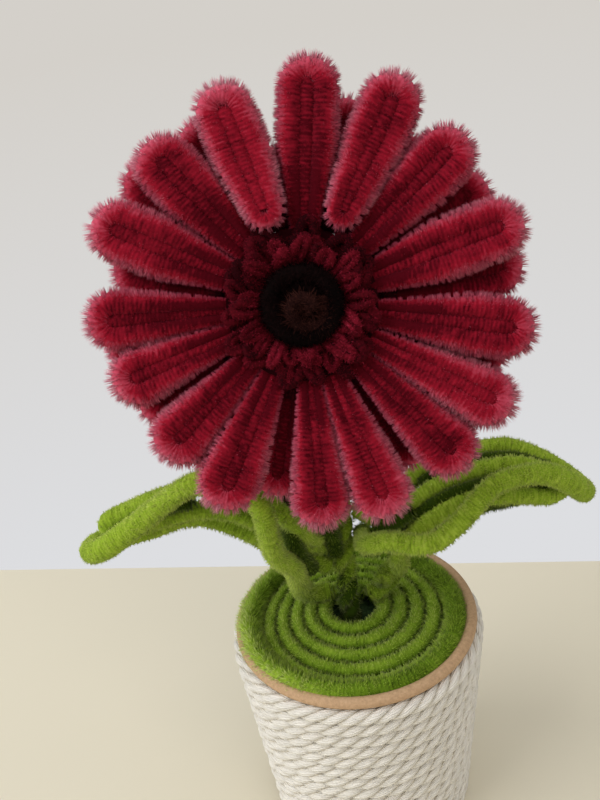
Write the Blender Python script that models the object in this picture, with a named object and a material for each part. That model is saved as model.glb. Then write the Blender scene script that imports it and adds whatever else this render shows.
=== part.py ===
# Chenille gerbera in a rope-wrapped paper cup.
# Units are metres, +Z is up, and the origin is the centre of the cup's underside.
# Seen from the front the viewer stands at -Y, with +X to the right.

import math

import bpy
import bmesh
from mathutils import Matrix, Vector

MM = 0.001

# Gap left between neighbouring solids, and the sharpest fold that keeps its thickness
CLEARANCE = 0.3 * MM
MITRE_LIMIT = 0.3

# Paper cup
CUP_HEIGHT = 63.0 * MM
RIM_RADIUS = 31.0 * MM
BASE_RADIUS = 22.5 * MM
PAPER = 0.5 * MM
RIM_CURL_RADIUS = 1.5 * MM
RIM_CURL_SWEEP = math.radians(290)
HEM_HEIGHT = 4.5 * MM
BOTTOM_RECESS = 6.0 * MM
CUP_SIDES = 36
CURL_STEPS = 7

# Cord wound round the cup
ROPE_DIAMETER = 4.0 * MM
ROPE_GAP = 0.1 * MM
ROPE_STEPS = 16
ROPE_END_ANGLE = math.radians(-135)
ROPE_STEP_SHARE = 0.2
ROPE_LAST_TURN = 0.75

# Green pile stem laid as a flat spiral in the mouth of the cup
GRASS_STRAND = 2.3 * MM
GRASS_DROP = 0.5 * MM
GRASS_STEPS = 16
GRASS_START = 0.15

# Twisted stem, its foot in the filling and its head end behind the flower
STEM_STRAND = 1.15 * MM
STEM_PITCH = 12.0 * MM
STEM_STEPS = 8
STEM_DEPTH = 25.0 * MM
STEM_FOOT = Vector((-1.2, 4.8, 0.0)) * MM

# Flower head: where its middle is above the cup's rim, and how it faces
HEAD_PLACE = Vector((-4.4, -7.5, 94.4)) * MM
HEAD_TILT = math.radians(62.3)
HEAD_TURN = math.radians(-0.8)
NECK_BEND = Vector((0.0, -1.5, -6.0)) * MM
PATTERN_TURN = math.radians(6.8)

# Petals: each is one pile stem bent into a narrow loop
PETAL_COUNT = 16
PETAL_STRAND = 2.8 * MM
PETAL_VALLEY = 1.4 * MM
PETAL_BOW = 1.5 * MM
BACK_LAYER_DROP = 4.0 * MM
BACK_LAYER_LEAN = 2.6 * MM
ROOT_RISE = 3.0 * MM
ROOT_RISE_SHARE = 0.6
ROOT_SETBACK = 0.7 * MM

# How far each loop reaches from the middle of the head, clockwise from the top
FRONT_REACH = [51.0, 50.4, 47.6, 47.8, 48.3, 48.0, 47.5, 47.7,
               46.2, 45.3, 42.7, 42.6, 44.9, 47.0, 46.0, 48.9]
BACK_REACH = [44.5, 42.1, 45.9, 46.7, 44.5, 44.7, 41.8, 42.3,
              41.8, 41.3, 41.3, 42.5, 41.5, 46.7, 44.5, 34.0]
# Degrees that each loop stands off its even place round the head
FRONT_STRAY = [0.4, 1.2, -1.2, -1.0, 5.3, 5.5, 2.1, 1.9,
               -3.6, 0.0, -3.2, -1.3, -2.5, -3.3, 0.2, -0.4]
BACK_STRAY = [2.0, 1.0, 0.0, 0.0, 2.5, 1.0, -3.2, 0.0,
              -3.1, -1.0, 0.0, -3.5, -2.5, 4.1, 2.4, 0.0]
# Loops whose roots come forward over the florets
RAISED_PETALS = (1, 15)

# Bound root of the petals, with a green pile stem wound round its back
HUB_RADIUS = 16.0 * MM
HUB_FACE = 1.3 * MM
HUB_LENGTH = 17.0 * MM
HUB_NECK_RADIUS = 4.2 * MM
HUB_SIDES = 32
WRAP_STRAND = 1.6 * MM
WRAP_STEPS = 12

# Florets and eye in the middle of the head
FLORET_STRAND = 0.8 * MM
FLORET_LOOPS = 24
FLORET_STEPS = 6
FLORET_BAND = 6.0 * MM
FLORET_HEIGHT = 3.0 * MM
EYE_RADIUS = 8.8 * MM
EYE_STRAND = 1.8 * MM
EYE_STEPS = 20
CORE_STRAND = 1.05 * MM
CORE_CROWN = 1.2 * MM
CORE_STEPS = 10

# Leaves: an outline loop and an inner loop each
LEAF_STRAND = 2.3 * MM
MIDRIB_STRAND = 1.8 * MM
LEAF_REACH = 63.5 * MM
LEAF_STEPS = 2


def make_material(name, colour, roughness):
    material = bpy.data.materials.new(name)
    material.use_nodes = True
    shader = material.node_tree.nodes["Principled BSDF"]
    shader.inputs["Base Color"].default_value = (*colour, 1.0)
    shader.inputs["Roughness"].default_value = roughness
    shader.inputs["Metallic"].default_value = 0.0
    return material


def add_object(name, data, material, parent=None):
    data.materials.append(material)
    part = bpy.data.objects.new(name, data)
    bpy.context.scene.collection.objects.link(part)
    part.parent = parent
    return part


def strand(name, points, radii, material, parent=None, cyclic=False):
    """A round strand along points, with a radius at each point."""
    widest = max(radii)
    curve = bpy.data.curves.new(name, "CURVE")
    curve.dimensions = "3D"
    curve.bevel_depth = widest
    curve.bevel_resolution = 1
    curve.use_fill_caps = True
    curve.twist_mode = "MINIMUM"
    spline = curve.splines.new("POLY")
    spline.points.add(len(points) - 1)
    spline.use_cyclic_u = cyclic
    for knot, point, radius in zip(spline.points, points, radii):
        knot.co = (*point, 1.0)
        knot.radius = radius / widest
    return add_object(name, curve, material, parent)


def smooth_route(points, steps):
    """Points on a smooth curve through the given ones, steps to each stretch."""
    ends = [2 * points[0] - points[1], *points, 2 * points[-1] - points[-2]]
    route = []
    for a, b, c, d in zip(ends, ends[1:], ends[2:], ends[3:]):
        for step in range(steps):
            t = step / steps
            route.append(0.5 * (2 * b + (c - a) * t
                                + (2 * a - 5 * b + 4 * c - d) * t * t
                                + (3 * b - a - 3 * c + d) * t ** 3))
    route.append(points[-1].copy())
    return route


def turned(name, profile, material, sides, parent=None):
    """A closed profile of (radius, height) pairs spun once round Z."""
    mesh = bpy.data.meshes.new(name)
    shape = bmesh.new()
    corners = [shape.verts.new((radius, 0.0, height)) for radius, height in profile]
    edges = [shape.edges.new(pair) for pair in zip(corners, corners[1:])]
    if profile[0][0] > 0 or profile[-1][0] > 0:
        edges.append(shape.edges.new((corners[-1], corners[0])))
    bmesh.ops.spin(shape, geom=corners + edges, cent=(0, 0, 0), axis=(0, 0, 1),
                   angle=math.tau, steps=sides, use_merge=True)
    bmesh.ops.remove_doubles(shape, verts=shape.verts, dist=1e-7)
    bmesh.ops.recalc_face_normals(shape, faces=shape.faces)
    shape.to_mesh(mesh)
    shape.free()
    mesh.shade_smooth()
    mesh.set_sharp_from_angle(angle=math.radians(40))
    return add_object(name, mesh, material, parent)


def sheet_profile(line, thickness):
    """The closed outline of a thin sheet that follows a line of (radius, height)."""
    near, far = [], []
    count = len(line)
    for index, (radius, height) in enumerate(line):
        before = Vector(line[max(index - 1, 0)])
        after = Vector(line[min(index + 1, count - 1)])
        here = Vector((radius, height))
        first = (here - before).normalized() if index else (after - here).normalized()
        last = (after - here).normalized() if index < count - 1 else first
        along = (first + last).normalized()
        side = Vector((-along.y, along.x))
        reach = thickness / 2 / max(MITRE_LIMIT, side.dot(Vector((-last.y, last.x))))
        near.append(tuple(here + side * reach))
        far.append(tuple(here - side * reach))
    return near + far[::-1]


# Cup: the middle of its paper wall at a height above the floor
curl_height = CUP_HEIGHT - RIM_CURL_RADIUS
curl_centre = RIM_RADIUS - RIM_CURL_RADIUS
curl_line = RIM_CURL_RADIUS - PAPER / 2
wall_top = curl_centre - curl_line
wall_base = BASE_RADIUS - PAPER / 2


def wall_radius(height):
    return wall_base + (wall_top - wall_base) * height / curl_height


def make_cup(paper):
    layer = PAPER + CLEARANCE
    hem_foot = wall_radius(0) - 2 * layer
    line = [(wall_radius(HEM_HEIGHT) - 2 * layer, HEM_HEIGHT),
            (hem_foot, PAPER / 2),
            (wall_radius(0), PAPER / 2),
            (wall_radius(curl_height * 0.5), curl_height * 0.5)]
    for step in range(CURL_STEPS + 1):
        angle = math.pi - RIM_CURL_SWEEP * step / CURL_STEPS
        line.append((curl_centre + curl_line * math.cos(angle),
                     curl_height + curl_line * math.sin(angle)))
    turned("cup_wall", sheet_profile(line, PAPER), paper, CUP_SIDES)

    skirt_foot = PAPER + CLEARANCE
    skirt = [(wall_radius(skirt_foot) - layer, skirt_foot),
             (wall_radius(BOTTOM_RECESS) - layer, BOTTOM_RECESS)]
    outline = [(skirt[0][0] + PAPER / 2, skirt[0][1]),
               (skirt[1][0] + PAPER / 2, skirt[1][1] + PAPER / 2),
               (0.0, BOTTOM_RECESS + PAPER / 2),
               (0.0, BOTTOM_RECESS - PAPER / 2),
               (skirt[1][0] - PAPER / 2, BOTTOM_RECESS - PAPER / 2),
               (skirt[0][0] - PAPER / 2, skirt[0][1])]
    turned("cup_bottom", outline, paper, CUP_SIDES)


def make_rope(cotton):
    """Flat turns that each step down one pitch behind the tucked end."""
    radius = ROPE_DIAMETER / 2
    highest = curl_height - RIM_CURL_RADIUS - CLEARANCE - radius
    lowest = radius + CLEARANCE
    drops = int((highest - lowest) / (ROPE_DIAMETER + ROPE_GAP))
    pitch = (highest - lowest) / drops
    points = []
    for step in range(int((drops + ROPE_LAST_TURN) * ROPE_STEPS)):
        turn, part = divmod(step / ROPE_STEPS, 1.0)
        slide = min(max((part - 1 + ROPE_STEP_SHARE) / ROPE_STEP_SHARE, 0.0), 1.0)
        height = highest - pitch * (turn + slide * slide * (3 - 2 * slide))
        height = max(height, lowest)
        out = wall_radius(height) + PAPER / 2 + CLEARANCE + radius
        out /= math.cos(math.pi / ROPE_STEPS)
        angle = ROPE_END_ANGLE + math.tau * part
        points.append((out * math.cos(angle), out * math.sin(angle), height))
    strand("rope_wrap", points, [radius] * len(points), cotton)


# Stem: two strands twisted round one route
stem_twist = STEM_STRAND + CLEARANCE / 2
stem_slope = math.atan(math.tau * stem_twist / STEM_PITCH)
stem_radius = stem_twist / math.cos(math.pi / STEM_STEPS) + STEM_STRAND
grass_top = CUP_HEIGHT - GRASS_DROP
foam_top = grass_top - 2 * GRASS_STRAND - CLEARANCE


def make_grass(pile):
    """A flat spiral that starts round the stem and ends inside the rim."""
    inner = stem_radius + 2 * CLEARANCE + GRASS_STRAND
    outer = wall_radius(foam_top) - PAPER / 2 - CLEARANCE - GRASS_STRAND
    grow = outer - inner
    pitch = 2 * GRASS_STRAND + CLEARANCE
    turns = (grow + STEM_FOOT.length) / pitch
    count = int(turns * GRASS_STEPS)
    points, radii = [], []
    for step in range(count + 1):
        share = step / count
        angle = math.tau * (step / GRASS_STEPS + GRASS_START)
        out = Vector((math.cos(angle), math.sin(angle), 0.0))
        room = (grow - STEM_FOOT.dot(out)) / turns
        radius = min(room - CLEARANCE, 2 * GRASS_STRAND) / 2
        place = STEM_FOOT * (1 - share) + out * (inner + grow * share)
        points.append((place.x, place.y, grass_top - radius))
        radii.append(radius)
    strand("grass_spiral", points, radii, pile)


def make_filling(foam):
    profile = []
    floor = BOTTOM_RECESS + PAPER / 2 + CLEARANCE
    for height in (floor, foam_top):
        profile.append((wall_radius(height) - PAPER / 2 - CLEARANCE, height))
    profile = [(0.0, floor), *profile, (0.0, foam_top)]
    plug = turned("foam_plug", profile, foam, CUP_SIDES)

    bore = bmesh.new()
    mesh = bpy.data.meshes.new("stem_bore_cutter")
    depth = STEM_DEPTH + 2 * CLEARANCE
    bmesh.ops.create_cone(bore, cap_ends=True, segments=16, depth=2 * depth,
                          radius1=stem_radius + 2 * CLEARANCE,
                          radius2=stem_radius + 2 * CLEARANCE)
    bore.to_mesh(mesh)
    bore.free()
    cutter = bpy.data.objects.new("stem_bore_cutter", mesh)
    bpy.context.scene.collection.objects.link(cutter)
    cutter.location = (STEM_FOOT.x, STEM_FOOT.y, foam_top)
    cutter.hide_render = True
    cutter.display_type = "WIRE"
    cut = plug.modifiers.new("stem_bore", "BOOLEAN")
    cut.operation = "DIFFERENCE"
    cut.object = cutter


def above_rim(x, y, z):
    """A point given in millimetres from the middle of the rim."""
    return Vector((x, y, z)) * MM + Vector((0, 0, CUP_HEIGHT))


head_frame = (Matrix.Translation(HEAD_PLACE + Vector((0, 0, CUP_HEIGHT)))
              @ Matrix.Rotation(HEAD_TURN, 4, "Z") @ Matrix.Rotation(HEAD_TILT, 4, "X"))
hub_back = HUB_FACE - HUB_LENGTH


def stem_route():
    """From the filling up behind the petals and forward into the hub's neck."""
    foot = STEM_FOOT + Vector((0, 0, foam_top - STEM_DEPTH))
    lean = STEM_STRAND * math.sin(stem_slope)
    neck = head_frame @ Vector((0, 0, hub_back - CLEARANCE - lean))
    before = head_frame @ (Vector((0, 0, hub_back)) + NECK_BEND)
    knots = [foot, STEM_FOOT + Vector((0, 0, CUP_HEIGHT)),
             above_rim(-1.0, 6.2, 14), above_rim(-0.8, 8.0, 27),
             above_rim(-0.8, 10.5, 44), above_rim(-1.6, 12.6, 60),
             above_rim(-2.8, 13.8, 73), before, neck]
    return smooth_route(knots, 12)


def route_lengths(route):
    lengths = [0.0]
    for a, b in zip(route, route[1:]):
        lengths.append(lengths[-1] + (b - a).length)
    return lengths


def along_route(route, lengths, run):
    """The place and the heading at a run along the route."""
    index = 0
    while index < len(route) - 2 and lengths[index + 1] < run:
        index += 1
    stretch = route[index + 1] - route[index]
    return route[index] + stretch * ((run - lengths[index]) / stretch.length), stretch.normalized()


def twist_steps(lengths):
    """How many steps the twist takes over the whole stem."""
    return int(lengths[-1] / STEM_PITCH * STEM_STEPS)


def stem_side(route, height):
    """The middle of the stem near a height, where its strands lie side by side."""
    lengths = route_lengths(route)
    half_turn = lengths[-1] * STEM_STEPS / 2 / twist_steps(lengths)
    nearest = min(range(len(route)), key=lambda index: abs(route[index].z - height))
    run = round(lengths[nearest] / half_turn) * half_turn
    return along_route(route, lengths, run)[0]


def make_stem(pile, route):
    lengths = route_lengths(route)
    count = twist_steps(lengths)
    twist = stem_twist / math.cos(math.pi / STEM_STEPS)
    side = Vector((1, 0, 0))
    paths = ([], [])
    for step in range(count + 1):
        centre, along = along_route(route, lengths, lengths[-1] * step / count)
        side = (side - along * side.dot(along)).normalized()
        other = along.cross(side)
        turn = math.tau * step / STEM_STEPS
        spoke = (side * math.cos(turn) + other * math.sin(turn)) * twist
        paths[0].append(centre + spoke)
        paths[1].append(centre - spoke)
    for name, path in zip(("stem_strand_a", "stem_strand_b"), paths):
        strand(name, path, [STEM_STRAND] * len(path), pile)


# Petals: each one widens with the room that it has between its neighbours
root_reach = HUB_RADIUS + CLEARANCE
petal_half_width = 2 * PETAL_STRAND + PETAL_VALLEY / 2


def petal_angles(stray, shift):
    pitch = 360 / PETAL_COUNT
    return [math.radians((index + shift) * pitch + extra) + PATTERN_TURN
            for index, extra in enumerate(stray)]


def petal_widening(angles):
    """Half a petal's room, as a share of the distance from the middle."""
    count = len(angles)
    shares = []
    for index, angle in enumerate(angles):
        after = (angles[(index + 1) % count] - angle) % math.tau
        before = (angle - angles[index - 1]) % math.tau
        shares.append(math.sin(min(after, before) / 2))
    return shares


def make_petal(name, pile, head, angle, widening, reach, depth, lean, raised):
    """One loop: out along one side, round the tip and back along the other."""
    arc_centre = max(reach - petal_half_width, (reach + CLEARANCE / 2) / (1 + widening))
    full_width = (petal_half_width + CLEARANCE / 2) / widening
    full = min(full_width, arc_centre)
    stations = [0.0, 0.25, 0.5, 0.75, 1.0] if raised else [0.0, 0.4, 0.75, 1.0]
    root = root_reach + ROOT_SETBACK if raised else root_reach
    strand_share = PETAL_STRAND / petal_half_width
    one_side = []
    for share in stations:
        out = root + (full - root) * share
        width = out * widening - CLEARANCE / 2
        one_side.append((out, width * (1 - strand_share), width * strand_share))
    _, tip_offset, tip_strand = one_side[-1]
    if arc_centre - full > tip_strand:
        one_side.append((arc_centre, tip_offset, tip_strand))
    arc = [(arc_centre + tip_offset * math.sin(turn), tip_offset * math.cos(turn), tip_strand)
           for turn in (math.pi / 4, math.pi / 2, math.pi * 3 / 4)]
    other_side = [(out, -offset, radius) for out, offset, radius in reversed(one_side)]
    outward = Vector((math.sin(angle), math.cos(angle), 0.0))
    across = Vector((math.cos(angle), -math.sin(angle), 0.0))
    points, radii = [], []
    for out, offset, radius in one_side + arc + other_side:
        share = (out - root_reach) / (reach - root_reach)
        lift = depth + PETAL_BOW * math.sin(math.pi * share) + lean * share
        if raised:
            lift += ROOT_RISE * math.sin(math.pi * min(share / ROOT_RISE_SHARE, 1.0))
        points.append(outward * out + across * offset + Vector((0, 0, lift)))
        radii.append(radius)
    strand(name, points, radii, pile, head)


def make_petals(pile, head):
    layers = (("front_petal", 0.0, FRONT_STRAY, FRONT_REACH, 0.0, 0.0, RAISED_PETALS),
              ("back_petal", 0.5, BACK_STRAY, BACK_REACH, -BACK_LAYER_DROP, -BACK_LAYER_LEAN, ()))
    for name, shift, stray, reaches, depth, lean, raised in layers:
        angles = petal_angles(stray, shift)
        for index, widening in enumerate(petal_widening(angles)):
            make_petal(f"{name}_{index + 1:02d}", pile, head, angles[index], widening,
                       reaches[index] * MM, depth, lean, index in raised)


def make_hub(pile, head):
    shoulder = -BACK_LAYER_DROP - PETAL_STRAND / 2 - CLEARANCE
    profile = [(0.0, HUB_FACE), (HUB_RADIUS, HUB_FACE), (HUB_RADIUS, shoulder),
               (HUB_NECK_RADIUS, hub_back), (0.0, hub_back)]
    turned("petal_binding", profile, pile, HUB_SIDES, head)
    return shoulder


def make_wrap(pile, head, shoulder):
    """A pile stem wound down the hub's cone, from its shoulder to its neck."""
    start = Vector((HUB_RADIUS, shoulder))
    finish = Vector((HUB_NECK_RADIUS, hub_back))
    slant = finish - start
    off = Vector((-slant.y, slant.x)).normalized() * (WRAP_STRAND + 2 * CLEARANCE)
    length = slant.length - 3 * WRAP_STRAND
    turns = length / (2 * WRAP_STRAND + CLEARANCE)
    count = int(turns * WRAP_STEPS)
    points = []
    for step in range(count + 1):
        run = 2 * WRAP_STRAND + length * step / count
        middle = start + slant.normalized() * run + off
        out = middle.x / math.cos(math.pi / WRAP_STEPS)
        angle = math.tau * step / WRAP_STEPS
        points.append((out * math.cos(angle), out * math.sin(angle), middle.y))
    strand("calyx_wrap", points, [WRAP_STRAND] * len(points), pile, head)


def make_florets(pile, head):
    """A fine pile stem coiled like a spring and laid in a ring round the eye."""
    half_band = FLORET_BAND / 2
    half_height = FLORET_HEIGHT / 2
    middle = EYE_RADIUS + CLEARANCE + FLORET_STRAND + half_band
    lowest = HUB_FACE + CLEARANCE + FLORET_STRAND
    points = []
    for step in range(FLORET_LOOPS * FLORET_STEPS):
        around = math.tau * step / (FLORET_LOOPS * FLORET_STEPS)
        coil = math.tau * step / FLORET_STEPS
        out = middle + half_band * math.cos(coil)
        height = lowest + half_height * (1 + math.sin(coil))
        points.append((out * math.cos(around), out * math.sin(around), height))
    strand("floret_ring", points, [FLORET_STRAND] * len(points), pile, head, cyclic=True)


def make_eye(black, brown, head):
    ring = EYE_RADIUS - EYE_STRAND
    seat = HUB_FACE + CLEARANCE
    points = []
    for step in range(EYE_STEPS):
        angle = math.tau * step / EYE_STEPS
        points.append((ring * math.cos(angle), ring * math.sin(angle), seat + EYE_STRAND))
    strand("eye_ring", points, [EYE_STRAND] * len(points), black, head, cyclic=True)

    inner = CORE_STRAND + CLEARANCE / 2
    outer = ring - EYE_STRAND - CLEARANCE - CORE_STRAND
    turns = (outer - inner) / (2 * CORE_STRAND + CLEARANCE)
    count = max(int(turns * CORE_STEPS), CORE_STEPS)
    points = []
    for step in range(count + 1):
        share = step / count
        angle = math.tau * step / CORE_STEPS
        out = inner + (outer - inner) * share
        rise = CORE_CROWN * (1 - share)
        points.append((out * math.cos(angle), out * math.sin(angle), seat + CORE_STRAND + rise))
    strand("eye_core", points, [CORE_STRAND] * len(points), brown, head)


# Leaves: routes in millimetres from the middle of the rim
def leaf_routes(route):
    stand = (CLEARANCE - GRASS_DROP) / MM
    rest = stand + LEAF_STRAND / MM

    def to_stem(side, height, radius, place):
        """The end of a strand that comes from a place to the stem's left (-1) or right (1)."""
        middle = stem_side(route, CUP_HEIGHT + height * MM)
        heading = (middle - above_rim(*place)).normalized()
        middle.x += side * (stem_radius + CLEARANCE + radius * math.sqrt(1 - heading.x ** 2))
        return middle.x / MM, middle.y / MM, (middle.z - CUP_HEIGHT) / MM

    tip = (LEAF_REACH - LEAF_STRAND) / MM
    left_outline = [
        (-6.0, 7.4, rest), (-9.6, 6.6, rest + 0.4), (-12.8, 3.6, 6.6), (-13.4, -2.0, 15.5),
        (-14.2, -7.5, 24.0), (-17.4, -12.0, 31.5), (-18.4, -15.0, 39.9), (-18.8, -16.0, 48.2),
        (-22.0, -15.5, 53.8), (-26.8, -14.0, 56.8), (-33.0, -12.0, 55.6), (-40.5, -9.0, 49.3),
        (-50.5, -6.0, 40.3), (-57.0, -5.0, 35.4), (-tip, -1.5, 32.6), (-58.5, 3.4, 31.2),
        (-48.3, 5.0, 31.3), (-39.0, 5.0, 33.3), (-32.5, 5.0, 31.9), (-24.4, 4.0, 27.4),
        (-15.7, 3.0, 20.4)]
    left_outline.append(to_stem(-1, 10.5, LEAF_STRAND, left_outline[-1]))
    left_midrib = [
        (-8.2, 1.2, 25.0), (-11.1, -3.0, 31.2), (-15.1, -6.0, 39.4), (-20.0, -5.8, 45.0),
        (-26.0, -4.0, 48.2), (-33.3, -3.0, 47.8), (-43.1, -1.0, 44.6), (-50.8, 0.0, 41.0),
        (-56.6, 0.2, 38.2), (-54.0, 0.6, 35.8), (-43.6, 0.0, 37.8), (-35.0, -1.0, 39.6),
        (-27.0, -1.0, 37.8), (-19.0, -1.0, 32.2), (-12.0, 0.5, 24.6)]
    left_midrib = [to_stem(-1, 22.0, MIDRIB_STRAND, left_midrib[0]), *left_midrib,
                   to_stem(-1, 16.0, MIDRIB_STRAND, left_midrib[-1])]
    right_outline = [
        (4.4, 2.0, 22.4), (4.0, -3.4, 25.0), (5.8, -7.4, 28.0), (9.7, -10.4, 30.4),
        (15.1, -14.0, 31.5), (19.6, -15.0, 32.4), (24.2, -14.0, 35.0), (28.6, -12.0, 37.6),
        (32.3, -9.0, 39.6), (36.7, -6.0, 40.4), (42.8, -3.0, 39.3), (49.5, 0.0, 36.7),
        (55.9, 2.6, 33.0), (tip, 7.0, 27.4), (58.6, 11.0, 27.6), (51.9, 13.0, 30.8),
        (46.6, 14.0, 34.0), (42.7, 15.0, 35.3), (37.1, 15.0, 35.6), (29.6, 14.0, 35.0),
        (22.8, 11.6, 35.0), (17.0, 9.8, 32.0), (13.8, 8.8, 25.0), (14.6, 9.2, 17.0),
        (13.4, 9.2, 9.0), (10.2, 7.4, 3.4), (4.6, 3.7, rest)]
    right_outline.insert(0, to_stem(1, 20.0, LEAF_STRAND, right_outline[0]))
    right_midrib = [
        (8.0, 4.4, 26.0), (12.4, 2.4, 26.8), (16.6, 2.2, 30.4), (20.8, 2.8, 33.6),
        (26.4, 4.0, 35.2), (31.8, 5.0, 36.2), (36.6, 6.0, 36.2), (43.0, 7.0, 35.4),
        (49.4, 6.8, 32.6), (55.0, 6.4, 28.8), (51.4, 4.2, 27.2), (44.8, 2.0, 29.6),
        (38.4, -0.2, 32.0), (32.0, -1.4, 33.2), (26.0, -2.2, 32.2), (19.6, -2.8, 28.8),
        (14.4, -2.6, 23.8), (12.2, -0.4, 17.4), (12.8, 3.2, 11.6), (11.0, 5.2, 8.4),
        (8.6, 4.6, 7.4), (7.7, 2.2, 7.4)]
    right_midrib.insert(0, to_stem(1, 27.0, MIDRIB_STRAND, right_midrib[0]))
    return {"left_leaf_outline": (left_outline, LEAF_STRAND),
            "left_leaf_midrib": (left_midrib, MIDRIB_STRAND),
            "right_leaf_outline": (right_outline, LEAF_STRAND),
            "right_leaf_midrib": (right_midrib, MIDRIB_STRAND)}


def make_leaves(pile, route):
    for name, (places, radius) in leaf_routes(route).items():
        points = smooth_route([above_rim(*place) for place in places], LEAF_STEPS)
        strand(name, points, [radius] * len(points), pile)


def main():
    for old in list(bpy.data.objects):
        bpy.data.objects.remove(old)

    crimson = make_material("crimson_chenille", (0.30, 0.010, 0.035), 0.9)
    leaf_green = make_material("leaf_green_chenille", (0.20, 0.34, 0.03), 0.9)
    grass_green = make_material("grass_green_chenille", (0.07, 0.20, 0.02), 0.9)
    black = make_material("black_chenille", (0.012, 0.006, 0.008), 0.95)
    brown = make_material("brown_chenille", (0.05, 0.015, 0.012), 0.95)
    kraft = make_material("kraft_paper", (0.62, 0.40, 0.25), 0.75)
    cotton = make_material("cotton_cord", (0.80, 0.78, 0.74), 0.85)
    foam = make_material("floral_foam", (0.05, 0.11, 0.05), 0.95)

    make_cup(kraft)
    make_rope(cotton)
    make_filling(foam)
    make_grass(grass_green)

    head = bpy.data.objects.new("flower_head_frame", None)
    bpy.context.scene.collection.objects.link(head)
    head.location = HEAD_PLACE + Vector((0, 0, CUP_HEIGHT))
    head.rotation_euler = (HEAD_TILT, 0.0, HEAD_TURN)

    route = stem_route()
    make_stem(leaf_green, route)
    make_leaves(leaf_green, route)
    shoulder = make_hub(crimson, head)
    make_wrap(leaf_green, head, shoulder)
    make_petals(crimson, head)
    make_florets(crimson, head)
    make_eye(black, brown, head)


main()
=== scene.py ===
# %% [markdown]
# # A chenille gerbera in a rope-wrapped paper cup
# Every soft part of this flower is a chenille stem: a twisted wire that holds short fibres,
# which stand out all round it like a bottle brush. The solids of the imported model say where
# each stem runs. This lesson gives them their pile, twists the cord and finishes the paper.

import math

import bmesh
import bpy
import numpy as np
from mathutils import Matrix, Vector


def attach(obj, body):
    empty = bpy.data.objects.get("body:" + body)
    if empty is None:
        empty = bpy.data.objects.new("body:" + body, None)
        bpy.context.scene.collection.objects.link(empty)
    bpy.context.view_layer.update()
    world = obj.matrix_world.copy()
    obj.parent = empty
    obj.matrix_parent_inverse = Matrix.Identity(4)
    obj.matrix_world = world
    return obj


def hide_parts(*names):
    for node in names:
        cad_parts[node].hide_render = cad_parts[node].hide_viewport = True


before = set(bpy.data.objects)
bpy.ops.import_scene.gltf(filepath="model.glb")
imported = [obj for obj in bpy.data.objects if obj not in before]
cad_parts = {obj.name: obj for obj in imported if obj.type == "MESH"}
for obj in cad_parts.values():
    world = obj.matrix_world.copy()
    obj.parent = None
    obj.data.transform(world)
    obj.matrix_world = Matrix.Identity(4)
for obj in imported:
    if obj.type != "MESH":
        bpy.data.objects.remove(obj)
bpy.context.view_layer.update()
MM = 0.001
print("solids:", len(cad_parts))

# %% [markdown]
# ## The camera, the floor and the light
# The camera stands where the photographer stood: above the flower, looking down at it, and
# turned a little about its own line of sight. Its matrix is built from three directions, which
# is simpler than angles when the camera is rolled. A pale cream table ends a little behind the
# cup. The pale grey behind it is the world's colour, which only the camera sees: a wall there
# would hide the flower from the back. Large soft lamps keep the colours plain.


# %% A camera from three directions
def new_object(name, data):
    """An object at the origin that holds the data, linked to the scene."""
    item = bpy.data.objects.new(name, data)
    bpy.context.scene.collection.objects.link(item)
    return item


CAMERA_PLACE = Vector((-7.36, -231.4, 275.07)) * MM
CAMERA_AHEAD = Vector((0.0, 0.846, -0.533))
CAMERA_RIGHT = Vector((0.992, -0.066, -0.105))
CAMERA_LENS = 54.0
SENSOR_WIDTH = 36.0
CAMERA_NEAR = 10 * MM

ahead = CAMERA_AHEAD.normalized()
right = (CAMERA_RIGHT - ahead * CAMERA_RIGHT.dot(ahead)).normalized()
above = right.cross(ahead)
camera_data = bpy.data.cameras.new("camera")
camera_data.lens = CAMERA_LENS
camera_data.sensor_width = SENSOR_WIDTH
camera_data.clip_start = CAMERA_NEAR
camera = new_object("camera", camera_data)
camera.matrix_world = (Matrix.Translation(CAMERA_PLACE)
                       @ Matrix((right, above, -ahead)).transposed().to_4x4())
bpy.context.scene.camera = camera
bpy.context.scene.view_settings.view_transform = "Standard"
print("camera roll, degrees:", round(math.degrees(math.asin(right.z)), 1))


# %% Colours and nodes
def linear(code):
    """An sRGB hex colour as linear red, green, blue and alpha."""
    parts = [int(code[start:start + 2], 16) / 255 for start in (1, 3, 5)]
    return [*(part / 12.92 if part <= 0.04045 else ((part + 0.055) / 1.055) ** 2.4
              for part in parts), 1.0]


def add_node(material, kind, inputs=None, **settings):
    """One node: inputs gives a socket a value, or a link where it is another node's output."""
    tree = material.node_tree
    node = tree.nodes.new(kind)
    for name, value in settings.items():
        setattr(node, name, value)
    for socket, value in (inputs or {}).items():
        if isinstance(value, bpy.types.NodeSocket):
            tree.links.new(value, node.inputs[socket])
        else:
            node.inputs[socket].default_value = value
    return node


def new_material(name, roughness, specular):
    """A material with its shader's plain numbers set on the shader itself."""
    material = bpy.data.materials.new(name)
    material.use_nodes = True
    shader = material.node_tree.nodes["Principled BSDF"]
    shader.inputs["Roughness"].default_value = roughness
    shader.inputs["Specular IOR Level"].default_value = specular
    return material, shader


def ramp(material, factor, stops):
    """A colour ramp with (place, hex colour) stops."""
    node = add_node(material, "ShaderNodeValToRGB", {"Fac": factor})
    points = node.color_ramp.elements
    while len(points) < len(stops):
        points.new(1.0)
    for point, (place, code) in zip(points, stops):
        point.position = place
        point.color = linear(code)
    return node.outputs["Color"]


def link(material, output, shader, socket):
    """Let a node's output drive one of the shader's sockets."""
    material.node_tree.links.new(output, shader.inputs[socket])


# %% The table
TABLE_HALF = 0.9
EDGE_LEFT = Vector((-124.1, 114.8, 0.0)) * MM
EDGE_RIGHT = Vector((87.4, 79.1, 0.0)) * MM


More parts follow.
